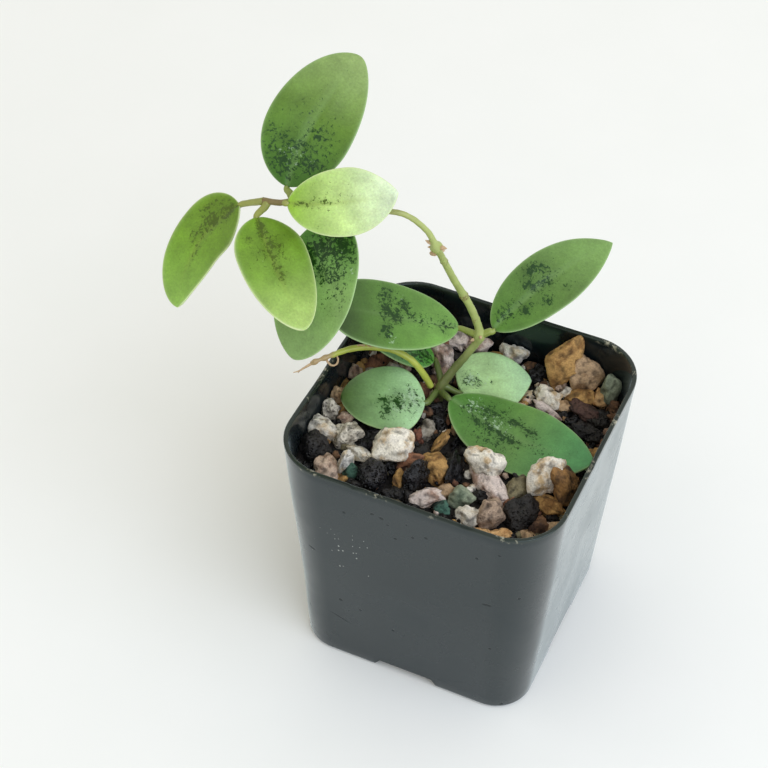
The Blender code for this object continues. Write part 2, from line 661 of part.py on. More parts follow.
def make_gravel_bed():
    bed = inside_of_pot("gravel_bed", GAP)
    apply_modifiers(bed)
    stones = bpy.data.collections.new("stones")
    bpy.context.scene.collection.children.link(stones)
    stones.hide_render = True
    rng = random.Random(GRIT_SEED + 1)
    for i, (place, radii, tilt) in enumerate(lay_stones()):
        name = f"stone {i}"
        add_object(name, stone_mesh(name, place, radii, tilt, rng), stones)
    boolean(bed, stones, "UNION", "MANIFOLD")
    apply_modifiers(bed)
    for stone in list(stones.objects):
        bpy.data.objects.remove(stone)
    bpy.data.collections.remove(stones)
    boolean(bed, inside_of_pot("clip", GAP, BED_CLIP), "INTERSECT", "MANIFOLD")
    foot, radius = CLIMBING_ROUTE[0]
    bm = bmesh.new()
    middle = Vector(foot) * MM + Vector((0, 0, STEM_HOLE_CUT / 2 - GAP))
    bmesh.ops.create_cone(
        bm, cap_ends=True, segments=12, radius1=radius * MM + 2 * GAP,
        radius2=radius * MM + 2 * GAP, depth=STEM_HOLE_CUT, matrix=Matrix.Translation(middle))
    boolean(bed, helper("stem hole", mesh_from("stem hole", bm)), "DIFFERENCE")
    apply_modifiers(bed)
    helpers.objects.unlink(bed)
    parts.objects.link(bed)
    bed.hide_render = False
    bed.display_type = "TEXTURED"
    bed.data.materials.append(material("potting grit", (0.25, 0.2, 0.15), 0.85))


clear_scene()
parts = new_collection("potted_hoya")
helpers = new_collection("helpers")
pot_centre = bpy.data.objects.new("pot_centre", None)
parts.objects.link(pot_centre)
pot_centre.location = POT_CENTRE
make_pot()
make_gravel_bed()
make_climbing_stem()
make_runner()
mature = material("mature leaf", (0.1, 0.22, 0.06), 0.4)
young = material("young leaf", (0.3, 0.5, 0.08), 0.4)
for leaf_name, leaf_shape in LEAVES.items():
    make_leaf(leaf_name, leaf_shape, young if leaf_name in YOUNG_LEAVES else mature)
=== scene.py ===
import math
import random

import bmesh
import bpy
from mathutils import Euler, Matrix, Vector, noise


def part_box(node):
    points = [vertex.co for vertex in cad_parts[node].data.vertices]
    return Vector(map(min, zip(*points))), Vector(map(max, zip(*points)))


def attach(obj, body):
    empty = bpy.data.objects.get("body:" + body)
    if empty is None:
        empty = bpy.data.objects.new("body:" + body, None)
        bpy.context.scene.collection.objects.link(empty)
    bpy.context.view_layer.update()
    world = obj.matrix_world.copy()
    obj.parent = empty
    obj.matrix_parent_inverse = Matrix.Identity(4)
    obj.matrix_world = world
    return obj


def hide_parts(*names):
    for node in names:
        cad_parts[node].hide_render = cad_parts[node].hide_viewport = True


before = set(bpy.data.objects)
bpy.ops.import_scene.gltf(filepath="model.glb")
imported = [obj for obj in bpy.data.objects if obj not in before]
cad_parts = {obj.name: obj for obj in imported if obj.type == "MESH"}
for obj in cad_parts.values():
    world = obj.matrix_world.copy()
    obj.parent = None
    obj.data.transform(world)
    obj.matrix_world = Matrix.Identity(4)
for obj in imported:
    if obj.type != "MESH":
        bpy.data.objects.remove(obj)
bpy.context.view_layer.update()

# ---------------------------------------------------------------------------------------------
# Pot. A square nursery pot, thin black polypropylene, injection moulded in one shot: tapered so
# that pots nest, with round corners, four feet between crossed drainage channels, and holes.
# Years on the bench have worn the rim, pitted the walls and left chalky lime specks.

MM = 0.001
POT_HEIGHT = 76
POT_TOP_HALF = 37.5
POT_FOOT_HALF = 32
POT_TOP_CORNER = 13.8
POT_FOOT_CORNER = 10
POT_WALL = 1.2
POT_FLOOR = 1.4
FOOT_ROUND = 1.2
RIM_ROUND = 0.35
CHANNEL_HEIGHT = 3
CHANNEL_HALF = 7.5
CHANNEL_FLARE = 2
SIDE_STEPS = 56
CORNER_STEPS = 16
ROUND_STEPS = 6
RIM_STEPS = 4
LEVEL_STEP = 3.0
# Bows in the walls: their size along each axis, their share of the width, and the height by
# which they are full
BOW_SIZE = (34, 34, 46)
BOW_DEPTH = 0.009
BOW_BIAS = 0.35
BOW_FULL = 25
# The height from which the walls can sag, then where the rim sags and where it is nicked: place
# along the rim, reach, depth
SAG_START = 30
RIM_SAGS = ((-37, 12, 9, 0.7), (-37, -8, 7, 0.45), (4, -37, 16, 0.35), (37, 14, 12, 0.3),
            (10, 37, 14, 0.4))
RIM_NICKS = ((-13.5, -37, 0.8, 0.45), (-9.2, -37, 0.5, 0.3), (-6.8, -37, 0.6, 0.5),
             (0.5, -37, 0.5, 0.25), (15.5, -37, 0.9, 0.4), (17.2, -37, 0.5, 0.35),
             (-37, 3.5, 1.0, 0.5), (-37, 17, 0.9, 0.45), (37, -6, 0.9, 0.6), (37, -8.4, 0.5, 0.3))
NICK_BLUNTNESS = 0.6
# The worn band of the rim, and the size and depth of its roughness
RIM_BAND = 1.2
RIM_GRAIN = 1.6
RIM_WEAR = 0.12
# Drain holes: place and radius
DRAIN_HOLES = ((0, 0, 4), (19, 0, 3), (-19, 0, 3), (0, 19, 3), (0, -19, 3))
DRAIN_SIDES = 40
# Edges that turn by more degrees than this stay crisp
SHARP_ANGLE = 40
# The cells that hold a lime speck or a pit each, and the band below the rim that is scuffed and,
# in part, painted lighter as a highlight
SPECK_CELL = 1.0
PIT_CELL = 2.8
SCUFF_AND_HIGHLIGHT_BAND = 1.5
# Dried splashes of hard water on the front wall: their middle and how far they reach
SPLASH_MIDDLE = (-17, -35.5, 48)
SPLASH_REACH = 13
# Scratches in the walls: middle, turn in degrees, half-length, half-width
SCRATCHES = (
    ((-28.5, -35, 45), (0, 24, 0), 2.6, 0.55),
    ((-26.0, -34.6, 43.8), (0, 8, 0), 1.6, 0.5),
    ((22.5, -35.2, 47), (0, -10, 0), 1.5, 0.5),
    ((-26, -33.4, 22), (0, 35, 0), 4.5, 0.32),
    ((-19, -33.0, 17), (0, 22, 0), 4.0, 0.3),
    ((-6, -36.9, 67.5), (0, 20, 0), 0.8, 0.6),
    ((-8.5, -36.8, 68), (0, -30, 0), 0.6, 0.5),
    ((6, -36.6, 66), (0, 10, 0), 0.6, 0.5),
    ((36.1, -12, 55), (70, 0, 90), 3.0, 0.4),
    ((35, 6, 40), (20, 0, 90), 2.2, 0.5),
    ((35.4, -20, 47), (55, 0, 90), 2.0, 0.4),
)

pot_low, pot_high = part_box("pot")
pot_place = Vector(((pot_low.x + pot_high.x) / 2, (pot_low.y + pot_high.y) / 2, pot_low.z))


def linear(code):
    """An sRGB hex colour as the linear colour that the shaders take."""
    parts = [int(code[i:i + 2], 16) / 255 for i in (1, 3, 5)]
    return (*(c / 12.92 if c <= 0.04045 else ((c + 0.055) / 1.055) ** 2.4 for c in parts), 1)


def per_metre(size_mm):
    """The texture scale that draws one feature of this size."""
    return 1 / (size_mm * MM)


def add_node(tree, kind, settings=None, links=None, output=None):
    """Adds a node, sets its properties and sockets, links its inputs, and returns an output."""
    node = tree.nodes.new(kind)

    def socket(name):
        if isinstance(name, int):
            return node.inputs[name]
        return next(s for s in node.inputs if s.name == name and s.enabled)

    for name, value in (settings or {}).items():
        if isinstance(name, str) and hasattr(node, name):
            setattr(node, name, value)
        else:
            socket(name).default_value = value
    for name, source in (links or {}).items():
        tree.links.new(source, socket(name))
    return next((s for s in node.outputs if s.enabled and s.name == (output or s.name)), None)


def start_material(name, constants):
    """A Principled material with its constant sockets set, its nodes and its shader."""
    made = bpy.data.materials.new(name)
    made.use_nodes = True
    shader = made.node_tree.nodes["Principled BSDF"]
    for socket, value in constants.items():
        shader.inputs[socket].default_value = value
    return made, made.node_tree, shader


def mesh_piece(name, bm, *materials):
    """An object from a mesh in millimetres about the middle of the pot's foot."""
    mesh = bpy.data.meshes.new(name)
    bmesh.ops.scale(bm, vec=(MM, MM, MM), verts=bm.verts)
    bm.to_mesh(mesh)
    bm.free()
    for finish in materials:
        mesh.materials.append(finish)
    mesh.shade_smooth()
    obj = bpy.data.objects.new(name, mesh)
    bpy.context.scene.collection.objects.link(obj)
    obj.location = pot_place
    return obj


def dress(obj, slot, *nodes):
    """Puts a piece on the frame in place of the nodes that it refines."""
    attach(obj, "root")
    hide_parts(*nodes)


def smooth_step(low, high, value):
    """0 at low, 1 at high, with an easy start and end."""
    share = min(1.0, max(0.0, (value - low) / (high - low)))
    return share * share * (3 - 2 * share)


def pot_section(z, inset):
    """The half-width and the corner radius at height z, moved in by inset."""
    share = z / POT_HEIGHT
    half = POT_FOOT_HALF + (POT_TOP_HALF - POT_FOOT_HALF) * share - inset
    corner = POT_FOOT_CORNER + (POT_TOP_CORNER - POT_FOOT_CORNER) * share - inset
    return half, corner


def pot_outline(z, inset=0.0):
    """The pot's outline at height z, moved in by inset, anticlockwise from above."""
    half, corner = pot_section(z, inset)
    flat = half - corner
    points = []
    for quarter in range(4):
        turn = Matrix.Rotation(math.pi / 2 * quarter, 3, "Z")
        for step in range(CORNER_STEPS):
            angle = math.pi / 2 * step / CORNER_STEPS
            points.append(turn @ Vector((
                flat + corner * math.cos(angle), flat + corner * math.sin(angle), z)))
        for step in range(SIDE_STEPS):
            points.append(turn @ Vector((flat - 2 * flat * step / SIDE_STEPS, half, z)))
    return points


def closed_loft(rings):
    """A closed body through rings that have the same number of points, from the lowest up."""
    bm = bmesh.new()
    levels = [[bm.verts.new(point) for point in ring] for ring in rings]
    for low, high in zip(levels, levels[1:]):
        for i in range(len(low)):
            j = (i + 1) % len(low)
            bm.faces.new((low[i], low[j], high[j], high[i]))
    bm.faces.new(levels[0][::-1])
    bm.faces.new(levels[-1])
    bmesh.ops.recalc_face_normals(bm, faces=bm.faces)
    return bm


def rounded_foot(z, inset):
    """Outlines that round the lower edge over a quarter circle."""
    rings = []
    for step in range(ROUND_STEPS + 1):
        angle = math.pi / 2 / ROUND_STEPS * step
        height = z + FOOT_ROUND * (1 - math.cos(angle))
        rings.append(pot_outline(height, inset + FOOT_ROUND * (1 - math.sin(angle))))
    return rings


def levels_between(low, high, inset):
    """Outlines up a wall, about one level step apart."""
    count = max(1, round((high - low) / LEVEL_STEP))
    return [pot_outline(low + (high - low) * i / count, inset) for i in range(1, count + 1)]


def rounded_rim(z, inset, outward):
    """Outlines that round an edge of the rim: in at the outer edge, out at the inner one."""
    rings = []
    for step in range(1, RIM_STEPS + 1):
        angle = math.pi / 2 / RIM_STEPS * step
        shift = RIM_ROUND * (1 - math.cos(angle)) * outward
        rings.append(pot_outline(z + RIM_ROUND * (math.sin(angle) - 1), inset + shift))
    return rings


def channel_prism(wide, narrow, top, across):
    """A channel under the floor, narrower towards its roof, right through the pot."""
    reach = 2 * POT_FOOT_HALF
    bm = bmesh.new()
    corners = []
    for x in (-reach, reach):
        for y, z in ((-wide, -1), (wide, -1), (wide, 0), (narrow, top), (-narrow, top),
                     (-wide, 0)):
            corners.append(bm.verts.new((y, x, z) if across else (x, y, z)))
    first, last = corners[:6], corners[6:]
    for i in range(6):
        bm.faces.new((first[i], first[(i + 1) % 6], last[(i + 1) % 6], last[i]))
    bm.faces.new(first[::-1])
    bm.faces.new(last)
    bmesh.ops.recalc_face_normals(bm, faces=bm.faces)
    return bm


def cut(obj, bm):
    """Cuts a shape out of an object and keeps the result as its mesh."""
    tool = mesh_piece("tool", bm)
    modifier = obj.modifiers.new("cut", "BOOLEAN")
    modifier.operation = "DIFFERENCE"
    modifier.solver = "EXACT"
    modifier.object = tool
    bpy.context.view_layer.update()
    result = bpy.data.meshes.new_from_object(
        obj.evaluated_get(bpy.context.evaluated_depsgraph_get()))
    obj.modifiers.clear()
    obj.data = result
    bpy.data.objects.remove(tool)


def drain_hole(x, y, radius):
    """A drill through the floor."""
    bm = bmesh.new()
    bmesh.ops.create_cone(bm, cap_ends=True, segments=DRAIN_SIDES, radius1=radius, radius2=radius,
                          depth=10, matrix=Matrix.Translation((x, y, CHANNEL_HEIGHT)))
    return bm


def worn(place):
    """Where a point of the new pot ends up: the walls bow a little, and the rim sags."""
    up = smooth_step(SAG_START, POT_HEIGHT, place.z)
    bow = BOW_BIAS + noise.noise(Vector([part / size for part, size in zip(place, BOW_SIZE)]))
    moved = Vector(place)
    moved.xy *= 1 - BOW_DEPTH * max(0.0, bow) * smooth_step(0, BOW_FULL, place.z)
    for x, y, reach, depth in RIM_SAGS:
        away = math.hypot(place.x - x, place.y - y) / reach
        moved.z -= depth * up * up * math.exp(-away * away)
    at_rim = smooth_step(POT_HEIGHT - RIM_BAND, POT_HEIGHT, place.z)
    for x, y, reach, depth in RIM_NICKS:
        away = math.hypot(place.x - x, place.y - y) / (reach + NICK_BLUNTNESS)
        moved.z -= depth * at_rim * math.exp(-away * away * 2)
    fine = noise.noise(Vector((place.x / RIM_GRAIN, place.y / RIM_GRAIN, 5)))
    moved.z -= at_rim * RIM_WEAR * abs(fine)
    return moved


def polypropylene():
    """Black polypropylene as a polished mould leaves it: a soft, oily gloss over deep black, that
    years of dust and handling have turned to a pale, cool bloom where it is seen at a slant."""
    finish, tree, shader = start_material("black polypropylene, injection moulded", {
        "IOR": 1.5, "Specular IOR Level": 0.42, "Sheen Weight": 0.88, "Sheen Roughness": 0.22,
        "Sheen Tint": linear("#dcecf2"), "Specular Tint": linear("#a4ccd4"),
        "Coat Weight": 0.45, "Coat Roughness": 0.08, "Coat IOR": 1.5})
    place = add_node(tree, "ShaderNodeTexCoord", output="Object")
    # Flow and handling leave broad, faint changes of shade and gloss.
    cloud = add_node(tree, "ShaderNodeTexNoise", {
        "Scale": per_metre(18), "Detail": 3.0, "Roughness": 0.6}, {"Vector": place})
    shade = add_node(tree, "ShaderNodeMix", {
        "data_type": "RGBA", "A": linear("#030608"), "B": linear("#0e161a")},
        {"Factor": cloud})
    # Chalky lime specks from hard water, under a millimetre: sparse, but crowded where water
    # has splashed the wall.
    speck_cell = add_node(tree, "ShaderNodeTexVoronoi", {"Scale": per_metre(SPECK_CELL)},
                          {"Vector": place}, "Distance")
    speck_draw = add_node(tree, "ShaderNodeTexVoronoi", {"Scale": per_metre(SPECK_CELL)},
                          {"Vector": place}, "Color")
    speck_luck = add_node(tree, "ShaderNodeSeparateColor", {}, {"Color": speck_draw}, "Red")
    splash_away = add_node(tree, "ShaderNodeVectorMath", {
        "operation": "DISTANCE", 1: [part * MM for part in SPLASH_MIDDLE]},
        {"Vector": place}, "Value")
    splash = add_node(tree, "ShaderNodeMapRange", {
        "From Min": 0.0, "From Max": SPLASH_REACH * MM, "To Min": 0.55, "To Max": 0.0},
        {"Value": splash_away})
    speck_chance = add_node(tree, "ShaderNodeMath", {"operation": "ADD"},
                            {0: speck_luck, 1: splash})
    speck_size = add_node(tree, "ShaderNodeMapRange", {
        "From Min": 0.94, "From Max": 1.25, "To Min": 0.0, "To Max": 0.32},
        {"Value": speck_chance})
    speck_edge = add_node(tree, "ShaderNodeMath", {"operation": "SUBTRACT"},
                          {0: speck_size, 1: speck_cell})
    speck = add_node(tree, "ShaderNodeMapRange", {"From Min": 0.0, "From Max": 0.04},
                     {"Value": speck_edge})
    # Small dark pits where grit has dug into the wall.
    pit_cell = add_node(tree, "ShaderNodeTexVoronoi", {"Scale": per_metre(PIT_CELL)},
                        {"Vector": place}, "Distance")
    pit_draw = add_node(tree, "ShaderNodeTexVoronoi", {"Scale": per_metre(PIT_CELL)},
                        {"Vector": place}, "Color")
    pit_luck = add_node(tree, "ShaderNodeSeparateColor", {}, {"Color": pit_draw}, "Green")
    pit_size = add_node(tree, "ShaderNodeMapRange", {
        "From Min": 0.88, "From Max": 1.0, "To Min": 0.0, "To Max": 0.22},
        {"Value": pit_luck})
    pit_edge = add_node(tree, "ShaderNodeMath", {"operation": "SUBTRACT"},
                        {0: pit_size, 1: pit_cell})
    pit = add_node(tree, "ShaderNodeMapRange", {"From Min": 0.0, "From Max": 0.05},
                   {"Value": pit_edge})
    # Scratches from handling: long thin dents, each an ellipsoid where the wall passes by it.
    for middle, turn, half_long, half_wide in SCRATCHES:
        local = add_node(tree, "ShaderNodeMapping", {
            "vector_type": "TEXTURE", "Location": [part * MM for part in middle],
            "Rotation": [math.radians(angle) for angle in turn],
            "Scale": (half_long * MM, half_wide * MM, half_wide * MM)}, {"Vector": place})
        scratch = add_node(tree, "ShaderNodeTexGradient", {"gradient_type": "SPHERICAL"},
                           {"Vector": local}, "Fac")
        scratch_edge = add_node(tree, "ShaderNodeMapRange", {"From Max": 0.3},
                                {"Value": scratch})
        pit = add_node(tree, "ShaderNodeMath", {"operation": "MAXIMUM"},
                       {0: pit, 1: scratch_edge})
    # A worn, scuffed edge to the rim, paler where the plastic is bruised. The lighter olive band
    # along the rim is worn plastic and a painted highlight.
    height = add_node(tree, "ShaderNodeSeparateXYZ", {}, {"Vector": place}, "Z")
    near_rim = add_node(tree, "ShaderNodeMapRange", {
        "From Min": (POT_HEIGHT - SCUFF_AND_HIGHLIGHT_BAND) * MM,
        "From Max": (POT_HEIGHT - RIM_ROUND) * MM},
        {"Value": height})
    scuff_noise = add_node(tree, "ShaderNodeTexNoise", {
        "Scale": per_metre(1.3), "Detail": 4.0, "Roughness": 0.7}, {"Vector": place})
    scuff_spread = add_node(tree, "ShaderNodeTexNoise", {
        "Scale": per_metre(11), "Detail": 1.0}, {"Vector": place})
    scuff_sum = add_node(tree, "ShaderNodeMath", {"operation": "MULTIPLY"},
                         {0: scuff_noise, 1: scuff_spread})
    scuff_worn = add_node(tree, "ShaderNodeMapRange", {"From Min": 0.32, "From Max": 0.42},
                          {"Value": scuff_sum})
    scuff = add_node(tree, "ShaderNodeMath", {"operation": "MULTIPLY"},
                     {0: scuff_worn, 1: near_rim})
    # Painted highlight: the band along the rim is a lighter olive, where light catches the edge.
    worn_rim_and_highlight = add_node(tree, "ShaderNodeMix", {"data_type": "RGBA", "B": linear("#22261f")},
                         {"Factor": near_rim, "A": shade})
    with_scuff = add_node(tree, "ShaderNodeMix", {"data_type": "RGBA", "B": linear("#b4ae97")},
                          {"Factor": scuff, "A": worn_rim_and_highlight})
    with_specks = add_node(tree, "ShaderNodeMix", {"data_type": "RGBA", "B": linear("#9fa39d")},
                           {"Factor": speck, "A": with_scuff})
    colour = add_node(tree, "ShaderNodeMix", {"data_type": "RGBA", "B": linear("#050606")},
                      {"Factor": pit, "A": with_specks})
    tree.links.new(colour, shader.inputs["Base Color"])
    gloss = add_node(tree, "ShaderNodeMapRange", {
        "From Min": 0.3, "From Max": 0.7, "To Min": 0.16, "To Max": 0.38}, {"Value": cloud})
    dull = add_node(tree, "ShaderNodeMath", {"operation": "MAXIMUM"}, {0: pit, 1: speck})
    rough = add_node(tree, "ShaderNodeMix", {"data_type": "FLOAT", "B": 0.75},
                     {"Factor": dull, "A": gloss})
    tree.links.new(rough, shader.inputs["Roughness"])
    # The mould's fine grain, and the drag lines of drawing the pot off its core.
    grain = add_node(tree, "ShaderNodeTexNoise", {
        "Scale": per_metre(0.8), "Detail": 2.0}, {"Vector": place})
    stretched = add_node(tree, "ShaderNodeMapping", {"Scale": (1.0, 1.0, 0.08)},
                         {"Vector": place})
    drag = add_node(tree, "ShaderNodeTexNoise", {"Scale": per_metre(1.5), "Detail": 3.0},
                    {"Vector": stretched})
    fine = add_node(tree, "ShaderNodeMath", {"operation": "MULTIPLY_ADD", 1: 0.35},
                    {0: grain, 2: drag})
    relief = add_node(tree, "ShaderNodeMath", {"operation": "MULTIPLY_ADD", 1: -6.0},
                      {0: dull, 2: fine})
    normal = add_node(tree, "ShaderNodeBump", {"Strength": 0.5, "Distance": 0.00002},
                      {"Height": relief})
    tree.links.new(normal, shader.inputs["Normal"])
    return finish


# The outside is one closed body; a cavity of its own form, already cut for the channels'
# roofs, is taken out of it, and then the channels and holes are cut through.
outer = closed_loft(
    rounded_foot(0, 0) + levels_between(FOOT_ROUND, POT_HEIGHT - RIM_ROUND, 0)
    + rounded_rim(POT_HEIGHT, 0, 1))
inner = closed_loft(
    rounded_foot(POT_FLOOR, POT_WALL)
    + levels_between(POT_FLOOR + FOOT_ROUND, POT_HEIGHT - RIM_ROUND, POT_WALL)
    + rounded_rim(POT_HEIGHT, POT_WALL, -1)
    + [pot_outline(POT_HEIGHT + 1, POT_WALL - RIM_ROUND)])
cavity = mesh_piece("cavity", inner)
for across in (False, True):
    cut(cavity, channel_prism(CHANNEL_HALF + CHANNEL_FLARE + POT_WALL, CHANNEL_HALF + POT_WALL,
                              CHANNEL_HEIGHT + POT_FLOOR, across))
pot = mesh_piece("nursery_pot", outer)
inner = bmesh.new()
inner.from_mesh(cavity.data)
bmesh.ops.scale(inner, vec=(1 / MM, 1 / MM, 1 / MM), verts=inner.verts)
bpy.data.objects.remove(cavity)
cut(pot, inner)
for across in (False, True):
    cut(pot, channel_prism(CHANNEL_HALF + CHANNEL_FLARE, CHANNEL_HALF, CHANNEL_HEIGHT, across))
for hole in DRAIN_HOLES:
    cut(pot, drain_hole(*hole))
for vert in pot.data.vertices:
    vert.co = worn(vert.co / MM) * MM
pot.data.materials.clear()
pot.data.materials.append(polypropylene())
pot.data.shade_smooth()
pot.data.set_sharp_from_angle(angle=math.radians(SHARP_ANGLE))
dress(pot, "pot_plastic", "pot")

# ---------------------------------------------------------------------------------------------
# Climbing shoot. One green cane set in the grit, woody and brown at its foot, waxy yellow-green
# above, purple-brown at its young end. It thickens at every node, where a ring scar and a few
# dry cream buds are left.

CLIMBING_ROUTE = (
    ((-11.6, 11.7, 48), 1.7),
    ((-11.5, 11.7, 62), 1.5),
    ((-11.1, 12.1, 66), 1.3),
    ((-8.9, 15.0, 70.5), 1.1),
    ((-6.2, 17.2, 75.5), 1.02),
    ((-4.0, 19.4, 81), 1.02),
    ((-5.8, 19.3, 88), 1.0),
    ((-8.3, 17.8, 95), 0.97),
    ((-10.0, 15.3, 101.5), 0.94),
    ((-11.5, 13.0, 108), 0.9),
    ((-13.1, 9.6, 116.5), 0.85),
    ((-15.2, 8.3, 122), 0.74),
    ((-18.9, 5.5, 127.5), 0.7),
    ((-22.9, 3.9, 128.8), 0.7),
    ((-29.5, 3.0, 127.2), 0.7),
    ((-37.5, 1.4, 126.2), 0.7),
    ((-46.3, -1.0, 126.8), 0.76),
    ((-50.0, -1.6, 125.8), 0.76),
    ((-54.2, -1.4, 124.6), 0.75),
)
# Swellings where leaves sit or once sat: place, and how far they stand out
CLIMBING_NODES = (
    ((-4.0, 19.4, 81), 0.55),
    ((-8.3, 17.8, 95), 0.15),
    ((-13.1, 9.6, 116.5), 0.75),
    ((-37.5, 1.4, 126.2), 0.35),
    ((-46.3, -1.0, 126.8), 0.45),
    ((-54.2, -1.4, 124.6), 0.15),
)
# Buds and dry bracts on the nodes: foot, direction, length, radius
CLIMBING_BUDS = (
    ((-13.9, 10.4, 113.4), (-0.9, 0.3, -0.5), 1.7, 0.75),
    ((-11.7, 9.5, 116.9), (0.9, -0.2, 0.35), 1.7, 0.6),
    ((-14.4, 8.9, 117.9), (-0.8, -0.3, 0.55), 1.5, 0.5),
    ((-12.4, 10.8, 114.6), (0.7, 0.6, -0.3), 1.2, 0.45),
    ((-13.9, 9.4, 116.3), (-0.9, -0.4, 0.0), 1.3, 0.5),
    ((-5.1, 18.4, 80.2), (-0.6, -0.7, -0.2), 1.0, 0.5),
    ((-3.2, 18.2, 82.0), (0.3, -0.9, 0.3), 0.9, 0.4),
)
RING_SCARS = ((-8.3, 17.8, 95), (-5.4, 19.4, 86.5), (-11.9, 12.2, 110.2), (-33, 2.2, 126.5))
RING_RISE = 0.12
RING_WIDTH = 0.35
NODE_REACH = 1.4
# The bark: the heights it turns from brown to green over, and how far left the end, above the
# last height, turns purple-brown
BARK_GREENS = (70, 84)
BARK_BROWNS = (-12, -36)
BARK_END_ABOVE = 100
# Cork: how much of it, and where it starts and is full, at the foot (height) and the old end
# (left); how much round a node, and its reach; how much round a scar, how far out, its reach
CORK_FOOT = (0.30, 80, 64)
CORK_END = (0.12, -14, -30)
CORK_NODE = (0.30, 1.8)
CORK_SCAR = (0.35, 0.9, 0.5)
STEM_STEP = 0.5
STEM_SIDES = 24
STEM_UNEVENNESS = 0.10
BUD_SIDES = 12
BUD_UNEVENNESS = 0.3
# How a bud swells and tapers: share of its length, share of its radius
BUD_SHAPE = ((-0.35, 0.8), (0.0, 1.0), (0.35, 0.95), (0.65, 0.62), (0.9, 0.28), (1.0, 0.12))
# A tube's round ends: how far they stand out, as a share of its radius, and their rings
END_ROUND = 0.6
END_ANGLES = (0.2, 0.7, 1.15)


def smooth_route(points, step):
    """Catmull-Rom points through the route, about one step apart, with the radii between."""
    places = [Vector(place) for place, _ in points]
    radii = [radius for _, radius in points]
    places = [2 * places[0] - places[1], *places, 2 * places[-1] - places[-2]]
    route = []
    for i in range(1, len(places) - 2):
        before, start, end, after = places[i - 1:i + 3]
        pieces = max(2, round((end - start).length / step))
        for piece in range(pieces):
            t = piece / pieces
            place = 0.5 * (
                2 * start + (end - before) * t
                + (2 * before - 5 * start + 4 * end - after) * t ** 2
                + (3 * start - before - 3 * end + after) * t ** 3)
            route.append((place, radii[i - 1] * (1 - t) + radii[i] * t))
    route.append((places[-2], radii[-1]))
    return route


def swollen(route, nodes):
    """The route with its radius raised round each node."""
    result = []
    for place, radius in route:
        for node, rise in nodes:
            away = (place - Vector(node)).length / NODE_REACH
            radius += rise * math.exp(-away * away)
        result.append((place, radius))
    return result


def grow_tube(bm, route, sides, material_index, unevenness):
    """Adds a closed tube along a route of places and radii, with round ends and a live skin."""
    first, last = route[0], route[-1]
    start = (first[0] - route[1][0]).normalized()
    end = (last[0] - route[-2][0]).normalized()
    rounded = [(first[0] + start * first[1] * END_ROUND * math.cos(a), first[1] * math.sin(a))
               for a in END_ANGLES]
    rounded += route
    rounded += [(last[0] + end * last[1] * END_ROUND * math.cos(a), last[1] * math.sin(a))
                for a in END_ANGLES[::-1]]
    side = (route[1][0] - route[0][0]).orthogonal().normalized()
    rings = []
    for i, (place, radius) in enumerate(rounded):
        before, after = rounded[max(0, i - 1)][0], rounded[min(len(rounded) - 1, i + 1)][0]
        along = (after - before).normalized()
        side = (side - along * side.dot(along)).normalized()
        other = along.cross(side)
        ring = []
        for step in range(sides):
            angle = 2 * math.pi * step / sides
            out = side * math.cos(angle) + other * math.sin(angle)
            skin = 1 + unevenness * noise.noise(place * 0.9 + out * 1.3)
            ring.append(bm.verts.new(place + out * radius * skin))
        rings.append(ring)
    for low, high in zip(rings, rings[1:]):
        for i in range(sides):
            j = (i + 1) % sides
            face = bm.faces.new((low[i], low[j], high[j], high[i]))
            face.material_index = material_index
    for cap in (rings[0][::-1], rings[-1]):
        bm.faces.new(cap).material_index = material_index


def point_attribute(obj, name, value_at):
    """Stores a number, or a linear colour, at every point of the mesh."""
    values = [value_at(vert.co / MM, i) for i, vert in enumerate(obj.data.vertices)]
    if isinstance(values[0], float):
        layer = obj.data.attributes.new(name, "FLOAT", "POINT")
        layer.data.foreach_set("value", values)
    else:
        layer = obj.data.attributes.new(name, "FLOAT_COLOR", "POINT")
        layer.data.foreach_set("color", [part for colour in values for part in colour])


def mixed(first, second, share):
    """A colour part of the way from the first to the second."""
    return tuple(a * (1 - share) + b * share for a, b in zip(first, second))


def waxy_cane(name):
    """Live bark under a thin wax: it glints softly along its length, its colour comes from the
    shoot's age, and fine corky streaks dull it."""
    finish, tree, shader = start_material(name, {
        "IOR": 1.45, "Subsurface Weight": 0.12, "Subsurface Radius": (0.5, 0.8, 0.2),
        "Subsurface Scale": 0.0006})
    place = add_node(tree, "ShaderNodeTexCoord", output="Object")
    # On the crown's petioles this colour also holds painted shade.
    base = add_node(tree, "ShaderNodeAttribute", {"attribute_name": "bark_colour"}, output="Color")
    cork = add_node(tree, "ShaderNodeAttribute", {"attribute_name": "cork"}, output="Fac")
    streak = add_node(tree, "ShaderNodeTexNoise", {
        "Scale": per_metre(0.7), "Detail": 4.0, "Roughness": 0.65, "Distortion": 0.4},
        {"Vector": place})
    streak_sum = add_node(tree, "ShaderNodeMath", {"operation": "ADD"}, {0: streak, 1: cork})
    streaks = add_node(tree, "ShaderNodeMapRange", {
        "interpolation_type": "SMOOTHSTEP", "From Min": 0.72, "From Max": 1.1},
        {"Value": streak_sum})
    tint = add_node(tree, "ShaderNodeTexNoise", {"Scale": per_metre(2.5), "Detail": 2.0},
                    {"Vector": place})
    lighter = add_node(tree, "ShaderNodeMapRange", {"To Min": 0.78, "To Max": 1.2},
                       {"Value": tint})
    toned = add_node(tree, "ShaderNodeVectorMath", {"operation": "SCALE"},
                     {"Vector": base, "Scale": lighter}, "Vector")
    colour = add_node(tree, "ShaderNodeMix", {"data_type": "RGBA", "B": linear("#75583a")},
                      {"Factor": streaks, "A": toned})
    tree.links.new(colour, shader.inputs["Base Color"])
    rough = add_node(tree, "ShaderNodeMapRange", {"To Min": 0.36, "To Max": 0.75},
                     {"Value": streaks})
    tree.links.new(rough, shader.inputs["Roughness"])
    normal = add_node(tree, "ShaderNodeBump", {"Strength": 0.7, "Distance": 0.00008},
                      {"Height": streak})
    tree.links.new(normal, shader.inputs["Normal"])
    return finish


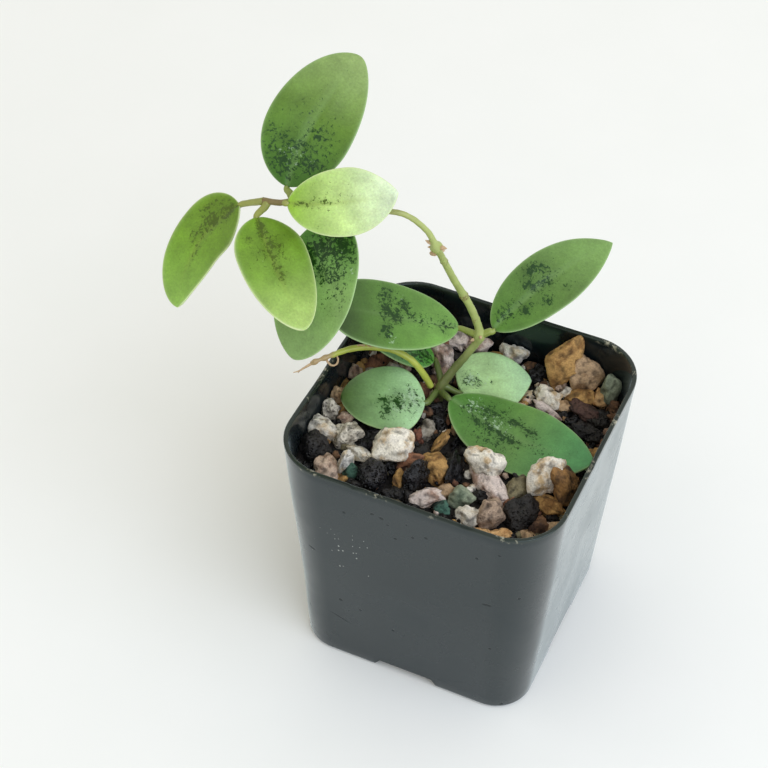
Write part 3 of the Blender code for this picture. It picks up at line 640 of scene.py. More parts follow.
def dry_bract():
    """Bud scales and dry rootlets: papery and matt, cream to pinkish tan along the fibre."""
    finish, tree, shader = start_material("dry plant scale", {"Roughness": 0.7})
    place = add_node(tree, "ShaderNodeTexCoord", output="Object")
    fibre = add_node(tree, "ShaderNodeTexNoise", {"Scale": per_metre(0.5), "Detail": 3.0},
                     {"Vector": place})
    colour = add_node(tree, "ShaderNodeMix", {
        "data_type": "RGBA", "A": linear("#d8c49c"), "B": linear("#a87c5c")},
        {"Factor": fibre})
    tree.links.new(colour, shader.inputs["Base Color"])
    normal = add_node(tree, "ShaderNodeBump", {"Strength": 0.5, "Distance": 0.00005},
                      {"Height": fibre})
    tree.links.new(normal, shader.inputs["Normal"])
    return finish


def bud_route(foot, direction, length, radius):
    """A plump pointed bud as a short tapering tube."""
    foot, direction = Vector(foot), Vector(direction).normalized()
    return [(foot + direction * length * t, radius * r) for t, r in BUD_SHAPE]


def climbing_bark(place, _):
    """Brown at the foot, yellow-green in the middle, brown-purple towards the young end."""
    foot, middle, end = linear("#67703f"), linear("#a6b26a"), linear("#85764a")
    colour = mixed(foot, middle, smooth_step(*BARK_GREENS, place.z))
    at_end = place.z > BARK_END_ABOVE
    return mixed(colour, end, smooth_step(*BARK_BROWNS, place.x) if at_end else 0.0)


def climbing_cork(place, _):
    """Corky at the foot and the old end, on the nodes, and in a ring round each scar."""
    much, start, full = CORK_FOOT
    cork = much * smooth_step(start, full, place.z)
    much, start, full = CORK_END
    cork += much * smooth_step(start, full, place.x)
    much, reach = CORK_NODE
    for node, _ in CLIMBING_NODES:
        away = (place - Vector(node)).length
        cork += much * math.exp(-(away / reach) ** 2)
    much, out, reach = CORK_SCAR
    for scar in RING_SCARS:
        away = (place - Vector(scar)).length
        cork += much * math.exp(-((away - out) / reach) ** 2)
    return float(cork)


climbing_route = swollen(smooth_route(CLIMBING_ROUTE, STEM_STEP), CLIMBING_NODES)
climbing_route = [
    (place, radius + sum(RING_RISE * math.exp(-((place - Vector(scar)).length / RING_WIDTH) ** 2)
                         for scar in RING_SCARS))
    for place, radius in climbing_route]
bm = bmesh.new()
grow_tube(bm, climbing_route, STEM_SIDES, 0, STEM_UNEVENNESS)
for bud in CLIMBING_BUDS:
    grow_tube(bm, bud_route(*bud), BUD_SIDES, 1, BUD_UNEVENNESS)
cane = waxy_cane("live hoya cane, waxy bark")
bract = dry_bract()
climbing_shoot = mesh_piece("climbing_shoot", bm, cane, bract)
point_attribute(climbing_shoot, "bark_colour", climbing_bark)
point_attribute(climbing_shoot, "cork", climbing_cork)
dress(climbing_shoot, "stem", "climbing_stem")

# ---------------------------------------------------------------------------------------------
# Bare runner. A leafless yellow-green shoot that searches for something to climb; its growing
# point has dried to brown knobs. Tan rootlets stand out of it, to grip bark.

RUNNER_ROUTE = (
    ((-13.5, 10.9, 66.3), 0.9),
    ((-14.9, 10.4, 69.6), 0.88),
    ((-17.4, 9.4, 74.2), 0.86),
    ((-20.2, 8.8, 76.6), 0.86),
    ((-23.5, 7.6, 78.4), 0.85),
    ((-26.8, 5.8, 79.4), 0.84),
    ((-30.0, 3.7, 80), 0.82),
    ((-32.9, 1.4, 80), 0.82),
    ((-35.7, -1.5, 79.6), 0.66),
    ((-38.2, -4.1, 79.1), 0.5),
    ((-39.8, -5.8, 78.6), 0.4),
)
RUNNER_NODES = (
    ((-36.8, -2.6, 79.4), 0.1),
    ((-39.4, -5.4, 78.8), 0.25),
)
# The dried end is knobbly: how deep the knobs are, and how close, in radians a millimetre
KNOB_DEPTH = 0.22
KNOB_PITCH = 3.4
# How far left the knobs, the tan of dry bark and the tip's cork start and are full
KNOBS_FROM = (-34.5, -36.5)
DRY_FROM = (-34.6, -36.6)
CORK_FROM = (-34, -37.5)
TIP_CORK = 0.28
# The patch that grips: cork gathers round it
GRIP_PLACE = (-28.6, 4.7, 80.0)
GRIP_REACH = 1.6
GRIP_CORK = 0.25
RUNNER_STEP = 0.45
ROOTLET_STEP = 0.25
ROOTLET_SIDES = 10
ROOTLET_UNEVENNESS = 0.35
# Aerial rootlets: points in millimetres, each with its radius
ROOTLETS = (
    (((-28.6, 4.7, 80.2), 0.42), ((-28.5, 4.1, 81.6), 0.32), ((-28.4, 3.4, 83.4), 0.24),
     ((-28.6, 2.9, 85.2), 0.14)),
    (((-28.2, 4.9, 80.2), 0.4), ((-27.4, 3.9, 81.8), 0.34), ((-26.4, 3.2, 82.8), 0.28),
     ((-25.6, 2.9, 82.6), 0.16)),
    (((-29.4, 4.0, 80.5), 0.3), ((-30.2, 3.2, 81.2), 0.22), ((-30.9, 2.8, 81.0), 0.12)),
    (((-37.0, -2.9, 79.0), 0.32), ((-36.4, -3.1, 78.0), 0.3), ((-35.4, -3.0, 77.2), 0.28),
     ((-34.5, -2.4, 77.3), 0.26), ((-34.3, -1.5, 78.2), 0.24), ((-34.9, -1.0, 79.1), 0.2)),
    (((-39.9, -6.0, 78.5), 0.34), ((-41.0, -7.2, 77.9), 0.24), ((-42.1, -8.0, 77.0), 0.2),
     ((-43.4, -8.9, 76.6), 0.12)),
    (((-41.4, -7.5, 77.7), 0.2), ((-42.2, -7.6, 76.6), 0.16), ((-42.6, -7.9, 75.9), 0.1)),
)


def runner_bark(place, _):
    """Yellow-green, and tan where the tip has dried."""
    return mixed(linear("#b0b950"), linear("#b39a70"), smooth_step(*DRY_FROM, place.x))


def runner_cork(place, _):
    """Corky at the dry tip and where the upper rootlets leave."""
    dry = TIP_CORK * smooth_step(*CORK_FROM, place.x)
    grip = math.exp(-((place - Vector(GRIP_PLACE)).length / GRIP_REACH) ** 2)
    return float(dry + GRIP_CORK * grip)


runner_route = swollen(smooth_route(RUNNER_ROUTE, RUNNER_STEP), RUNNER_NODES)
bm = bmesh.new()
knobbly = [
    (place, radius * (1 + KNOB_DEPTH * smooth_step(*KNOBS_FROM, place.x)
                      * math.sin(place.y * KNOB_PITCH)))
    for place, radius in runner_route]
grow_tube(bm, knobbly, STEM_SIDES, 0, STEM_UNEVENNESS)
for rootlet in ROOTLETS:
    grow_tube(bm, smooth_route(rootlet, ROOTLET_STEP), ROOTLET_SIDES, 1, ROOTLET_UNEVENNESS)
bare_runner = mesh_piece("searching_runner", bm, cane, bract)
point_attribute(bare_runner, "bark_colour", runner_bark)
point_attribute(bare_runner, "cork", runner_cork)
dress(bare_runner, "runner", "bare_runner")

# ---------------------------------------------------------------------------------------------
# Leaves. Thick, water-storing blades on short fleshy petioles, grown in pairs from the nodes:
# waxy skin, a shallow midrib groove, a thin pale margin, and splashes of dark and silver flecks.
# Old leaves are deep green and mottled, the three at the shoot's end soft yellow-green.

# Where its petiole leaves the stem and the foot of its blade (millimetres); heading, pitch and
# roll (degrees); length and width; how far it droops and bends sideways (degrees); how much its
# edges rise, as a share of the half-width; where it is widest; its greens at foot, middle and
# tip; then its patches of dark flecks and of silver ones: place along (0 to 1) and across
# (-1 to 1), reach along and across, density.
LEAVES = {
    "leaf_node_left": dict(
        joint=(-4.0, 19.4, 81), foot=(-10, 20, 81), turn=(208, 14, -13),
        length=35, width=20.5, droop=-7, bend=2, cup=0.05, widest=0.61, taper=0.34,
        # Its dark tip green is painted shadow, cast by the right tip leaf lying over it.
        greens=("#73a14c", "#5c8636", "#1d300e"),
        dark=((0.10, 0.05, 0.10, 0.55, 0.65), (0.26, 0.0, 0.12, 0.30, 0.55),
              (0.36, -0.10, 0.06, 0.20, 0.8), (0.50, 0.0, 0.08, 0.28, 1.0),
              (0.57, -0.18, 0.06, 0.30, 0.95), (0.42, -0.40, 0.05, 0.25, 0.95),
              (0.56, 0.42, 0.06, 0.35, 0.8), (0.55, -0.58, 0.08, 0.35, 0.75)),
        silver=((0.52, 0.75, 0.05, 0.2, 0.7), (0.44, -0.6, 0.06, 0.3, 0.5))),
    "leaf_node_right": dict(
        joint=(-4.0, 19.4, 81), foot=(-0.8, 21.1, 83), turn=(60, 33, 18),
        length=40.5, width=16.5, droop=34, bend=-12, cup=0.10, widest=0.46, taper=0.92,
        greens=("#507c27", "#537331", "#7b9f56"),
        dark=((0.12, 0.15, 0.12, 0.55, 0.65), (0.36, 0.22, 0.04, 0.32, 1.0),
              (0.43, 0.60, 0.08, 0.18, 1.0), (0.49, 0.45, 0.04, 0.25, 0.9),
              (0.45, 0.02, 0.08, 0.18, 0.9), (0.23, -0.30, 0.05, 0.25, 0.9),
              (0.38, -0.48, 0.05, 0.22, 0.85), (0.54, -0.50, 0.04, 0.15, 0.75),
              (0.42, 0.30, 0.18, 0.7, 0.45)),
        silver=((0.42, 0.35, 0.05, 0.2, 0.5),)),
    "leaf_top": dict(
        joint=(-46.3, -1.0, 126.8), foot=(-49.2, 1.2, 129), turn=(91, 50, 8),
        length=37, width=22, droop=25, bend=-26, cup=0.06, widest=0.41, taper=0.63,
        greens=("#3a6c14", "#597b25", "#8ba360"),
        dark=((0.14, 0.35, 0.12, 0.8, 0.75), (0.18, -0.3, 0.12, 0.8, 0.7),
              (0.28, 0.1, 0.08, 1.0, 0.7), (0.40, -0.30, 0.08, 0.40, 0.65),
              (0.45, 0.1, 0.2, 0.8, 0.3)),
        silver=((0.2, 0.1, 0.12, 0.8, 0.5),)),
    "leaf_hanging": dict(
        joint=(-37.5, 1.4, 126.2), foot=(-38, 4.5, 121.5), turn=(282, -27, 19),
        length=37, width=22, droop=19, bend=-19, cup=0.06, widest=0.54, taper=0.65,
        greens=("#37800e", "#81a85a", "#7b9b5a"),
        dark=((0.22, 0.4, 0.14, 0.7, 0.95), (0.28, -0.2, 0.14, 0.6, 0.95),
              (0.40, 0.3, 0.12, 0.6, 0.75), (0.55, 0.5, 0.12, 0.5, 0.45)),
        silver=((0.36, 0.85, 0.03, 0.08, 1.0), (0.3, 0.5, 0.12, 0.4, 0.4))),
    "leaf_tip_left": dict(
        joint=(-54.2, -1.4, 124.6), foot=(-60.6, -2.2, 121.6), turn=(214, -34, -13),
        length=30.9, width=18, droop=8, bend=63, cup=0.12, widest=0.32, taper=0.69,
        greens=("#638514", "#719a27", "#84ac4b"),
        dark=((0.10, 0.0, 0.14, 0.35, 0.85), (0.25, -0.15, 0.14, 0.35, 0.85),
              (0.38, -0.22, 0.12, 0.25, 0.75), (0.5, 0.08, 0.16, 0.12, 0.6),
              (0.2, -0.55, 0.15, 0.3, 0.6)),
        silver=()),
    "leaf_tip_centre": dict(
        joint=(-53.0, -1.45, 124.95), foot=(-54.5, -4.7, 121.8), turn=(312, -20, -7),
        length=32, width=18, droop=0, bend=12, cup=0.12, widest=0.37, taper=0.59,
        greens=("#658b14", "#709431", "#a6c16b"),
        dark=((0.08, -0.02, 0.18, 0.22, 0.95), (0.28, 0.12, 0.14, 0.4, 0.8),
              (0.48, 0.05, 0.14, 0.16, 0.75), (0.18, -0.55, 0.05, 0.2, 0.6),
              (0.25, -0.1, 0.2, 0.6, 0.4)),
        silver=((0.3, 0.0, 0.15, 0.3, 0.3),)),
    "leaf_tip_right": dict(
        joint=(-46.3, -1.0, 126.8), foot=(-46, -5.2, 130), turn=(16, 2, 43),
        length=27, width=16.5, droop=-3, bend=20, cup=0.12, widest=0.54, taper=0.78,
        greens=("#80a91b", "#b9d384", "#d4e2c2"),
        dark=((0.10, 0.02, 0.2, 0.2, 0.6), (0.35, 0.05, 0.16, 0.14, 0.6),
              (0.45, 0.15, 0.12, 0.25, 0.4), (0.3, 0.2, 0.2, 0.5, 0.3)),
        silver=()),
    "leaf_crown_left": dict(
        joint=(-11.5, 11.7, 64.6), foot=(-12.1, 4.1, 67.4), turn=(206, 13, -11),
        length=22, width=20, droop=15, bend=4, cup=-0.04, widest=0.35, taper=0.62,
        # Its pale foot green is partly a painted sheen.
        greens=("#aad09d", "#80a56c", "#384f19"),
        dark=((0.15, 0.1, 0.14, 0.6, 0.65), (0.33, 0.15, 0.12, 0.35, 0.85),
              (0.47, 0.35, 0.10, 0.35, 0.8), (0.52, 0.1, 0.1, 0.2, 0.7),
              (0.65, 0.27, 0.02, 0.06, 1.0)),
        silver=((0.16, 0.0, 0.14, 0.6, 0.95), (0.34, 0.4, 0.1, 0.3, 0.75),
                (0.44, -0.27, 0.03, 0.08, 0.9))),
    "leaf_crown_front": dict(
        joint=(-11.4, 11.8, 64.6), foot=(-6.5, 7.4, 67.9), turn=(-9, -20, 4),
        length=42, width=21.5, droop=-33, bend=12, cup=0.05, widest=0.52, taper=0.8,
        # Its greens are painted darker for the shade it lies in by the right wall.
        greens=("#3f701f", "#5c853f", "#529c60"),
        dark=((0.14, 0.1, 0.08, 0.5, 0.7), (0.42, 0.38, 0.07, 0.14, 1.0),
              (0.53, 0.30, 0.07, 0.12, 1.0), (0.28, -0.10, 0.16, 0.2, 0.95),
              (0.44, -0.12, 0.12, 0.15, 0.95), (0.25, 0.35, 0.14, 0.35, 0.75),
              (0.36, -0.45, 0.2, 0.35, 0.55), (0.62, -0.05, 0.15, 0.4, 0.4)),
        silver=((0.14, 0.3, 0.1, 0.45, 0.8), (0.32, 0.1, 0.14, 0.3, 0.7),
                (0.70, 0.15, 0.1, 0.2, 0.4))),
    "leaf_crown_right": dict(
        joint=(-11.1, 12.1, 66.4), foot=(-6.2, 14.2, 64.2), turn=(55, 0, 7),
        length=20, width=20.5, droop=5, bend=-29, cup=0.03, widest=0.4, taper=0.79,
        greens=("#98b97c", "#a9cb8d", "#bbe2b2"),
        dark=((0.15, 0.30, 0.12, 0.3, 0.8), (0.25, 0.15, 0.08, 0.3, 0.7),
              (0.45, -0.05, 0.03, 0.08, 0.8)),
        silver=((0.2, 0.25, 0.14, 0.35, 0.9), (0.36, 0.05, 0.08, 0.25, 0.9))),
    "leaf_crown_back": dict(
        joint=(-10.9, 12.4, 67.2), foot=(-16.6, 20.5, 66.0), turn=(204, 36, 0),
        length=26, width=15.5, droop=11, bend=-4, cup=0.03, widest=0.45, taper=0.8,
        greens=("#5aa638", "#5a8f54", "#4d8040"),
        dark=((0.18, 0.2, 0.2, 0.9, 0.85), (0.42, 0.5, 0.15, 0.5, 0.7)),
        silver=((0.3, 0.2, 0.2, 0.6, 0.4),)),
}
YOUNG_LEAVES = ("leaf_tip_left", "leaf_tip_centre", "leaf_tip_right")
UNDERSIDE = "#9db97c"
UNDERSIDE_SHARE = 0.45
# Petioles are yellower towards the shoot's end; those of the crown are painted a darker, dull
# green for the shade they lie in
PETIOLE_GREENS_AND_SHADE = {"crown": "#62723a", "node": "#8d9a4c", "top": "#8d9a4c",
                  "hanging": "#8d9a4c", "tip": "#959a50"}
# The blade: half its thickness, how square its edge is, how much thinner it is at the edge, and
# the half-width below which it thins towards the foot and tip
BLADE_HALF_THICKNESS = 0.6
BLADE_EDGE = 0.45
BLADE_EDGE_THINNER = 0.25
BLADE_FULL_HALF = 1.6
# The midrib: its half-width, its groove above and its hollow below
MIDRIB_HALF = 0.55
MIDRIB_GROOVE = 0.28
MIDRIB_BELOW = 0.22
# Waves of the blade: depth at a half-width of WAVE_FULL, and their size
WAVE_DEPTH = 0.35
WAVE_FULL = 8
WAVE_SIZE = 9
BLADE_STATIONS = 72
BLADE_SIDES = 56
FRAME_STEPS = 24
# The least half-width of the blade that others keep clear of, and of the blade itself
NARROWEST = 0.3
NARROWEST_POINT = 0.02
# The pale margin as bands: how pale, and how far in; the most it may be; and the rib's paleness
MARGIN_BANDS = ((0.7, 0.2), (0.2, 0.7))
MARGIN_MOST = 0.85
MIDRIB_PALE = 0.35
# The share of the flecks that shows through to the underside
FLECKS_BELOW = 0.12
# The petiole's radius at the stem, at the blade's foot and where it ends under the midrib, and
# how far along the blade that is
PETIOLE_FOOT = 0.93
PETIOLE_RADIUS = 0.78
PETIOLE_END = 0.35
PETIOLE_SINK = 0.13
# Its start in the stem, as a share of the way to clear bark, how much thicker it is there, and
# how much thinner it is at its second bend
PETIOLE_START = 0.3
PETIOLE_SWELL = 1.08
PETIOLE_NECK = 0.75
PETIOLE_STEP = 0.4
PETIOLE_SIDES = 16
PETIOLE_UNEVENNESS = 0.08
PETIOLE_CORK = 0.12
# Where it passes below the blade's foot, in the leaf's own space
PETIOLE_BENDS = ((-0.6, 0, -0.3), (1.2, 0, -0.55))
# The collar: how far from the stem's skin it ends
COLLAR_GAP = 0.5


def half_width(leaf, t):
    """The half-width at t along a leaf, as a share of the largest: a full foot, then the taper."""
    widest = leaf["widest"]
    if t < widest:
        return max(0.0, 1 - ((widest - t) / widest) ** 2.2) ** 0.62
    return max(0.0, 1 - ((t - widest) / (1 - widest)) ** 2) ** leaf["taper"]


def blade_frames(leaf, steps):
    """The midrib in the leaf's own space: its points, with the side and the face direction."""
    droop, bend = math.radians(leaf["droop"]), math.radians(leaf["bend"])

    def direction(t):
        flat = math.cos(droop * t)
        return Vector((math.cos(bend * t) * flat, math.sin(bend * t) * flat, -math.sin(droop * t)))

    place = Vector()
    frames = []
    for i in range(steps + 1):
        t = i / steps
        side = Vector((-math.sin(bend * t), math.cos(bend * t), 0))
        frames.append((place.copy(), side, direction(t).cross(side)))
        place += direction(t + 0.5 / steps) * leaf["length"] / steps
    return frames


def leaf_matrix(leaf):
    """From the leaf's own space to the pot's, both in millimetres."""
    heading, pitch, roll = (math.radians(angle) for angle in leaf["turn"])
    turn = Euler((roll, -pitch, heading)).to_matrix().to_4x4()
    return Matrix.Translation(Vector(leaf["foot"])) @ turn


def blade_point(leaf, frames, along, across, narrowest=NARROWEST):
    """A point of the blade's middle surface: along from 0 to 1, across from -1 to 1."""
    position = along * (len(frames) - 1)
    i = min(int(position), len(frames) - 2)
    place, side, face = (a.lerp(b, position - i) for a, b in zip(frames[i], frames[i + 1]))
    half = max(narrowest, leaf["width"] / 2 * half_width(leaf, along))
    return place + side * half * across + face * leaf["cup"] * half * across ** 2


def stem_at(place):
    """The shoot's radius and direction at the point of its route nearest to a place."""
    nearest = min(range(len(climbing_route)),
                  key=lambda i: (climbing_route[i][0] - place).length)
    before = climbing_route[max(0, nearest - 1)][0]
    after = climbing_route[min(len(climbing_route) - 1, nearest + 1)][0]
    return climbing_route[nearest][1], (after - before).normalized()


def petiole_route(leaf, frames, to_pot):
    """From inside the stem to a place under the blade, thicker where it meets the stem."""
    joint, foot = Vector(leaf["joint"]), Vector(leaf["foot"])
    outward = (foot - joint).normalized()
    stem_radius, stem_direction = stem_at(joint)
    lean = outward.dot(stem_direction)
    slant = math.sqrt(1 - lean * lean)
    clear = (stem_radius + COLLAR_GAP + PETIOLE_FOOT * abs(lean)) / slant
    if leaf["joint"] == CLIMBING_ROUTE[-1][0] and lean > 0:
        clear = min(clear, (COLLAR_GAP + PETIOLE_FOOT * slant) / lean)
    under = blade_point(leaf, frames, PETIOLE_SINK, 0)
    under.z -= BLADE_HALF_THICKNESS
    return smooth_route((
        (joint + outward * clear * PETIOLE_START, PETIOLE_FOOT * PETIOLE_SWELL),
        (joint + outward * clear, PETIOLE_FOOT),
        (to_pot @ Vector(PETIOLE_BENDS[0]), PETIOLE_RADIUS),
        (to_pot @ Vector(PETIOLE_BENDS[1]), PETIOLE_RADIUS * PETIOLE_NECK),
        (to_pot @ under, PETIOLE_END)), PETIOLE_STEP)


def patch_density(patches, along, across):
    """How densely flecked the blade is at a place, from its list of patches."""
    density = 0.0
    for t, s, reach_t, reach_s, strength in patches:
        away = ((along - t) / reach_t) ** 2 + ((across - s) / reach_s) ** 2
        density = max(density, strength * math.exp(-away * 0.8))
    return density


def leaf_skin(name, fleck, silver, margin, rib, scatter, stain):
    """A waxy leaf: satin to the eye, with a soft glow from within, its own green, mottled, with
    dark and silver flecks, pale along the margin."""
    finish, tree, shader = start_material(name, {
        "IOR": 1.45, "Specular IOR Level": 0.5, "Subsurface Weight": scatter,
        "Subsurface Radius": (0.5, 1.0, 0.15), "Subsurface Scale": 0.0012})
    place = add_node(tree, "ShaderNodeTexCoord", output="Object")
    green = add_node(tree, "ShaderNodeAttribute", {"attribute_name": "leaf_green"}, output="Color")
    density = add_node(tree, "ShaderNodeAttribute", {"attribute_name": "dark_flecks"},
                       output="Fac")
    silvery = add_node(tree, "ShaderNodeAttribute", {"attribute_name": "silver_flecks"},
                       output="Fac")
    edge = add_node(tree, "ShaderNodeAttribute", {"attribute_name": "margin"}, output="Fac")
    midrib = add_node(tree, "ShaderNodeAttribute", {"attribute_name": "midrib"}, output="Fac")
    # Broad mottling of the flesh, then a fine grain of cells, coarser than life to show.
    mottle = add_node(tree, "ShaderNodeTexNoise", {
        "Scale": per_metre(6), "Detail": 4.0, "Roughness": 0.55}, {"Vector": place})
    cells = add_node(tree, "ShaderNodeTexNoise", {
        "Scale": per_metre(0.55), "Detail": 3.0, "Roughness": 0.7}, {"Vector": place})
    mottle_gain = add_node(tree, "ShaderNodeMapRange", {
        "From Min": 0.3, "From Max": 0.7, "To Min": 0.80, "To Max": 1.18}, {"Value": mottle})
    cell_gain = add_node(tree, "ShaderNodeMapRange", {
        "From Min": 0.3, "From Max": 0.7, "To Min": 0.86, "To Max": 1.14}, {"Value": cells})
    gain = add_node(tree, "ShaderNodeMath", {"operation": "MULTIPLY"},
                    {0: mottle_gain, 1: cell_gain})
    toned = add_node(tree, "ShaderNodeVectorMath", {"operation": "SCALE"},
                     {"Vector": green, "Scale": gain}, "Vector")
    ribbed = add_node(tree, "ShaderNodeMix", {"data_type": "RGBA", "B": linear(rib)},
                      {"Factor": midrib, "A": toned})
    # Flecks: pigment in crumbs of about a millimetre, let through where they are dense, over a
    # faint stain of the same colour.
    crumbs = add_node(tree, "ShaderNodeTexNoise", {
        "Scale": per_metre(1.0), "Detail": 6.0, "Roughness": 0.75, "Distortion": 0.5},
        {"Vector": place})
    dark_sum = add_node(tree, "ShaderNodeMath", {"operation": "MULTIPLY_ADD", 1: 0.27},
                        {0: density, 2: crumbs})
    dark = add_node(tree, "ShaderNodeMapRange", {
        "interpolation_type": "SMOOTHSTEP", "From Min": 0.65, "From Max": 0.71},
        {"Value": dark_sum})
    stained = add_node(tree, "ShaderNodeMapRange", {
        "From Min": 0.25, "From Max": 1.0, "To Max": stain}, {"Value": density})
    darker = add_node(tree, "ShaderNodeMix", {"data_type": "RGBA", "B": linear(fleck)},
                      {"Factor": stained, "A": ribbed})
    flecked = add_node(tree, "ShaderNodeMix", {"data_type": "RGBA", "B": linear(fleck)},
                       {"Factor": dark, "A": darker})
    # Air under the skin shows as silver specks, in places of their own.
    shifted = add_node(tree, "ShaderNodeVectorMath", {"operation": "ADD", 1: (0.3, 0.1, 0.2)},
                       {"Vector": place}, "Vector")
    glints = add_node(tree, "ShaderNodeTexNoise", {
        "Scale": per_metre(0.9), "Detail": 4.0, "Roughness": 0.7}, {"Vector": shifted})
    silver_sum = add_node(tree, "ShaderNodeMath", {"operation": "MULTIPLY_ADD", 1: 0.30},
                          {0: silvery, 2: glints})
    bright = add_node(tree, "ShaderNodeMapRange", {
        "interpolation_type": "SMOOTHSTEP", "From Min": 0.72, "From Max": 0.82,
        "To Max": 0.7}, {"Value": silver_sum})
    silvered = add_node(tree, "ShaderNodeMix", {"data_type": "RGBA", "B": linear(silver)},
                        {"Factor": bright, "A": flecked})
    colour = add_node(tree, "ShaderNodeMix", {"data_type": "RGBA", "B": linear(margin)},
                      {"Factor": edge, "A": silvered})
    tree.links.new(colour, shader.inputs["Base Color"])
    rough = add_node(tree, "ShaderNodeMapRange", {
        "From Min": 0.3, "From Max": 0.7, "To Min": 0.28, "To Max": 0.44}, {"Value": cells})
    tree.links.new(rough, shader.inputs["Roughness"])
    relief = add_node(tree, "ShaderNodeMath", {"operation": "MULTIPLY_ADD", 1: 4.0},
                      {0: mottle, 2: cells})
    normal = add_node(tree, "ShaderNodeBump", {"Strength": 0.6, "Distance": 0.00005},
                      {"Height": relief})
    tree.links.new(normal, shader.inputs["Normal"])
    return finish


def flesh_colour(greens, along, top):
    """The blade's green between its foot, middle and tip, paler on the underside."""
    foot, middle, tip = greens
    if along < 0.5:
        colour = mixed(foot, middle, along * 2)
    else:
        colour = mixed(middle, tip, along * 2 - 1)
    return colour if top else mixed(colour, linear(UNDERSIDE), UNDERSIDE_SHARE)


def make_leaf(name, leaf, skin, petiole_skin):
    """One leaf: the blade in rings from foot to tip, its surface facts, and the petiole."""
    frames = blade_frames(leaf, FRAME_STEPS)
    to_pot = leaf_matrix(leaf)
    greens = [linear(code) for code in leaf["greens"]]
    seed = Vector(leaf["foot"])
    bm = bmesh.new()
    facts = []
    rings = []
    for i in range(BLADE_STATIONS + 1):
        along = 0.5 - 0.5 * math.cos(math.pi * i / BLADE_STATIONS)
        half = max(NARROWEST_POINT, leaf["width"] / 2 * half_width(leaf, along))
        ring = []
        for j in range(BLADE_SIDES):
            turn = 2 * math.pi * j / BLADE_SIDES
            across = math.cos(turn)
            # Flat faces with a round edge, thinner towards the foot and tip
            bulge = math.copysign(abs(math.sin(turn)) ** BLADE_EDGE, math.sin(turn))
            thick = (BLADE_HALF_THICKNESS * min(1.0, half / BLADE_FULL_HALF)
                     * (1 - BLADE_EDGE_THINNER * across ** 2))
            top = bulge > 0
            rib = math.exp(-(across * half / MIDRIB_HALF) ** 2) * smooth_step(1.0, 0.3, along)
            rise = thick * bulge - (MIDRIB_GROOVE if top else MIDRIB_BELOW) * rib
            wave = WAVE_DEPTH * noise.noise(seed + Vector((
                along * leaf["length"] / WAVE_SIZE, across * half / WAVE_SIZE, 0)))
            place = blade_point(leaf, frames, along, across, NARROWEST_POINT)
            position = along * (len(frames) - 1)
            k = min(int(position), len(frames) - 2)
            face = frames[k][2].lerp(frames[k + 1][2], position - k)
            ring.append(bm.verts.new(
                to_pot @ (place + face * (rise + wave * (half / WAVE_FULL)))))
            inside = half * (1 - abs(across))
            margin = sum(pale * math.exp(-(inside / reach) ** 2)
                         for pale, reach in MARGIN_BANDS)
            # The flecks lie in the upper skin and hardly show through
            seen = 1.0 if top else FLECKS_BELOW
            facts.append((
                flesh_colour(greens, along, top),
                seen * patch_density(leaf["dark"], along, across),
                seen * patch_density(leaf["silver"], along, across),
                min(MARGIN_MOST, margin), MIDRIB_PALE * rib))
        rings.append(ring)
    for low, high in zip(rings, rings[1:]):
        for j in range(BLADE_SIDES):
            k = (j + 1) % BLADE_SIDES
            bm.faces.new((low[j], low[k], high[k], high[j]))
    bm.faces.new(rings[0][::-1])
    bm.faces.new(rings[-1])
    bmesh.ops.recalc_face_normals(bm, faces=bm.faces)
    blade_count = len(bm.verts)
    grow_tube(bm, petiole_route(leaf, frames, to_pot), PETIOLE_SIDES, 1, PETIOLE_UNEVENNESS)
    obj = mesh_piece(name.replace("leaf_", "hoya_leaf_"), bm, skin, petiole_skin)
    blank = (greens[0], 0.0, 0.0, 0.0, 0.0)
    for column, layer in enumerate(
            ("leaf_green", "dark_flecks", "silver_flecks", "margin", "midrib")):
        point_attribute(obj, layer, lambda _, i: (
            facts[i] if i < blade_count else blank)[column])
    # On the crown's petioles this colour holds painted shade.
    petiole_colour_and_shade = linear(PETIOLE_GREENS_AND_SHADE[name.split("_")[1]])
    point_attribute(obj, "bark_colour", lambda *_: petiole_colour_and_shade)
    point_attribute(obj, "cork", lambda *_: PETIOLE_CORK)
    return obj


mature_skin = leaf_skin("mature hoya leaf, waxy skin", "#0e3900", "#a9c4a0", "#9dba80",
                        "#7f9f62", 0.06, 0.35)
young_skin = leaf_skin("young hoya leaf, waxy skin", "#465c06", "#d0dda2", "#cfdca6",
                       "#8f9f42", 0.12, 0.6)
for leaf_name, leaf_shape in LEAVES.items():
    young = leaf_name in YOUNG_LEAVES
    blade = make_leaf(leaf_name, leaf_shape, young_skin if young else mature_skin, cane)
    dress(blade, "young_leaf" if young else "mature_leaf", leaf_name)

# ---------------------------------------------------------------------------------------------
# Potting grit. Crushed stone poured round the roots, dusty and matt: pumice, gravel, green and
# red chips, and black lava full of gas holes, 3 to 11 mm across, over a dark bed of fines. The
# larger stones on top are laid one by one.

# The bed: its height at the pot's middle, its slope, its gap to the pot, and how rough it is,
# as bumps of one size and height after another
BED_MIDDLE = 62.5
BED_SLOPE = 0.05
BED_GAP = 0.3
BED_RINGS = 26
BED_DEPTH = 0.8
BED_EDGE_DROP = 4
BED_RELIEF = ((2.2, 1, 0.7), (0.9, 7, 0.35))
# The stones between: their radius, how high they lie as a share of it, how close they may be,
# how uneven they are and how far they lean
GRIT_SEED = 11
GRIT_TRIES = 1500
GRIT_RADIUS = (1.7, 3.1)
GRIT_LIFT = (-0.6, 0.0)
GRIT_SPACING = 0.78
GRIT_SHAPE = (0.8, 1.25)
GRIT_LEAN = 0.6
CHOSEN_LEAN = 0.4
GRIT_SPREAD = (POT_FOOT_HALF + POT_TOP_HALF) / 2
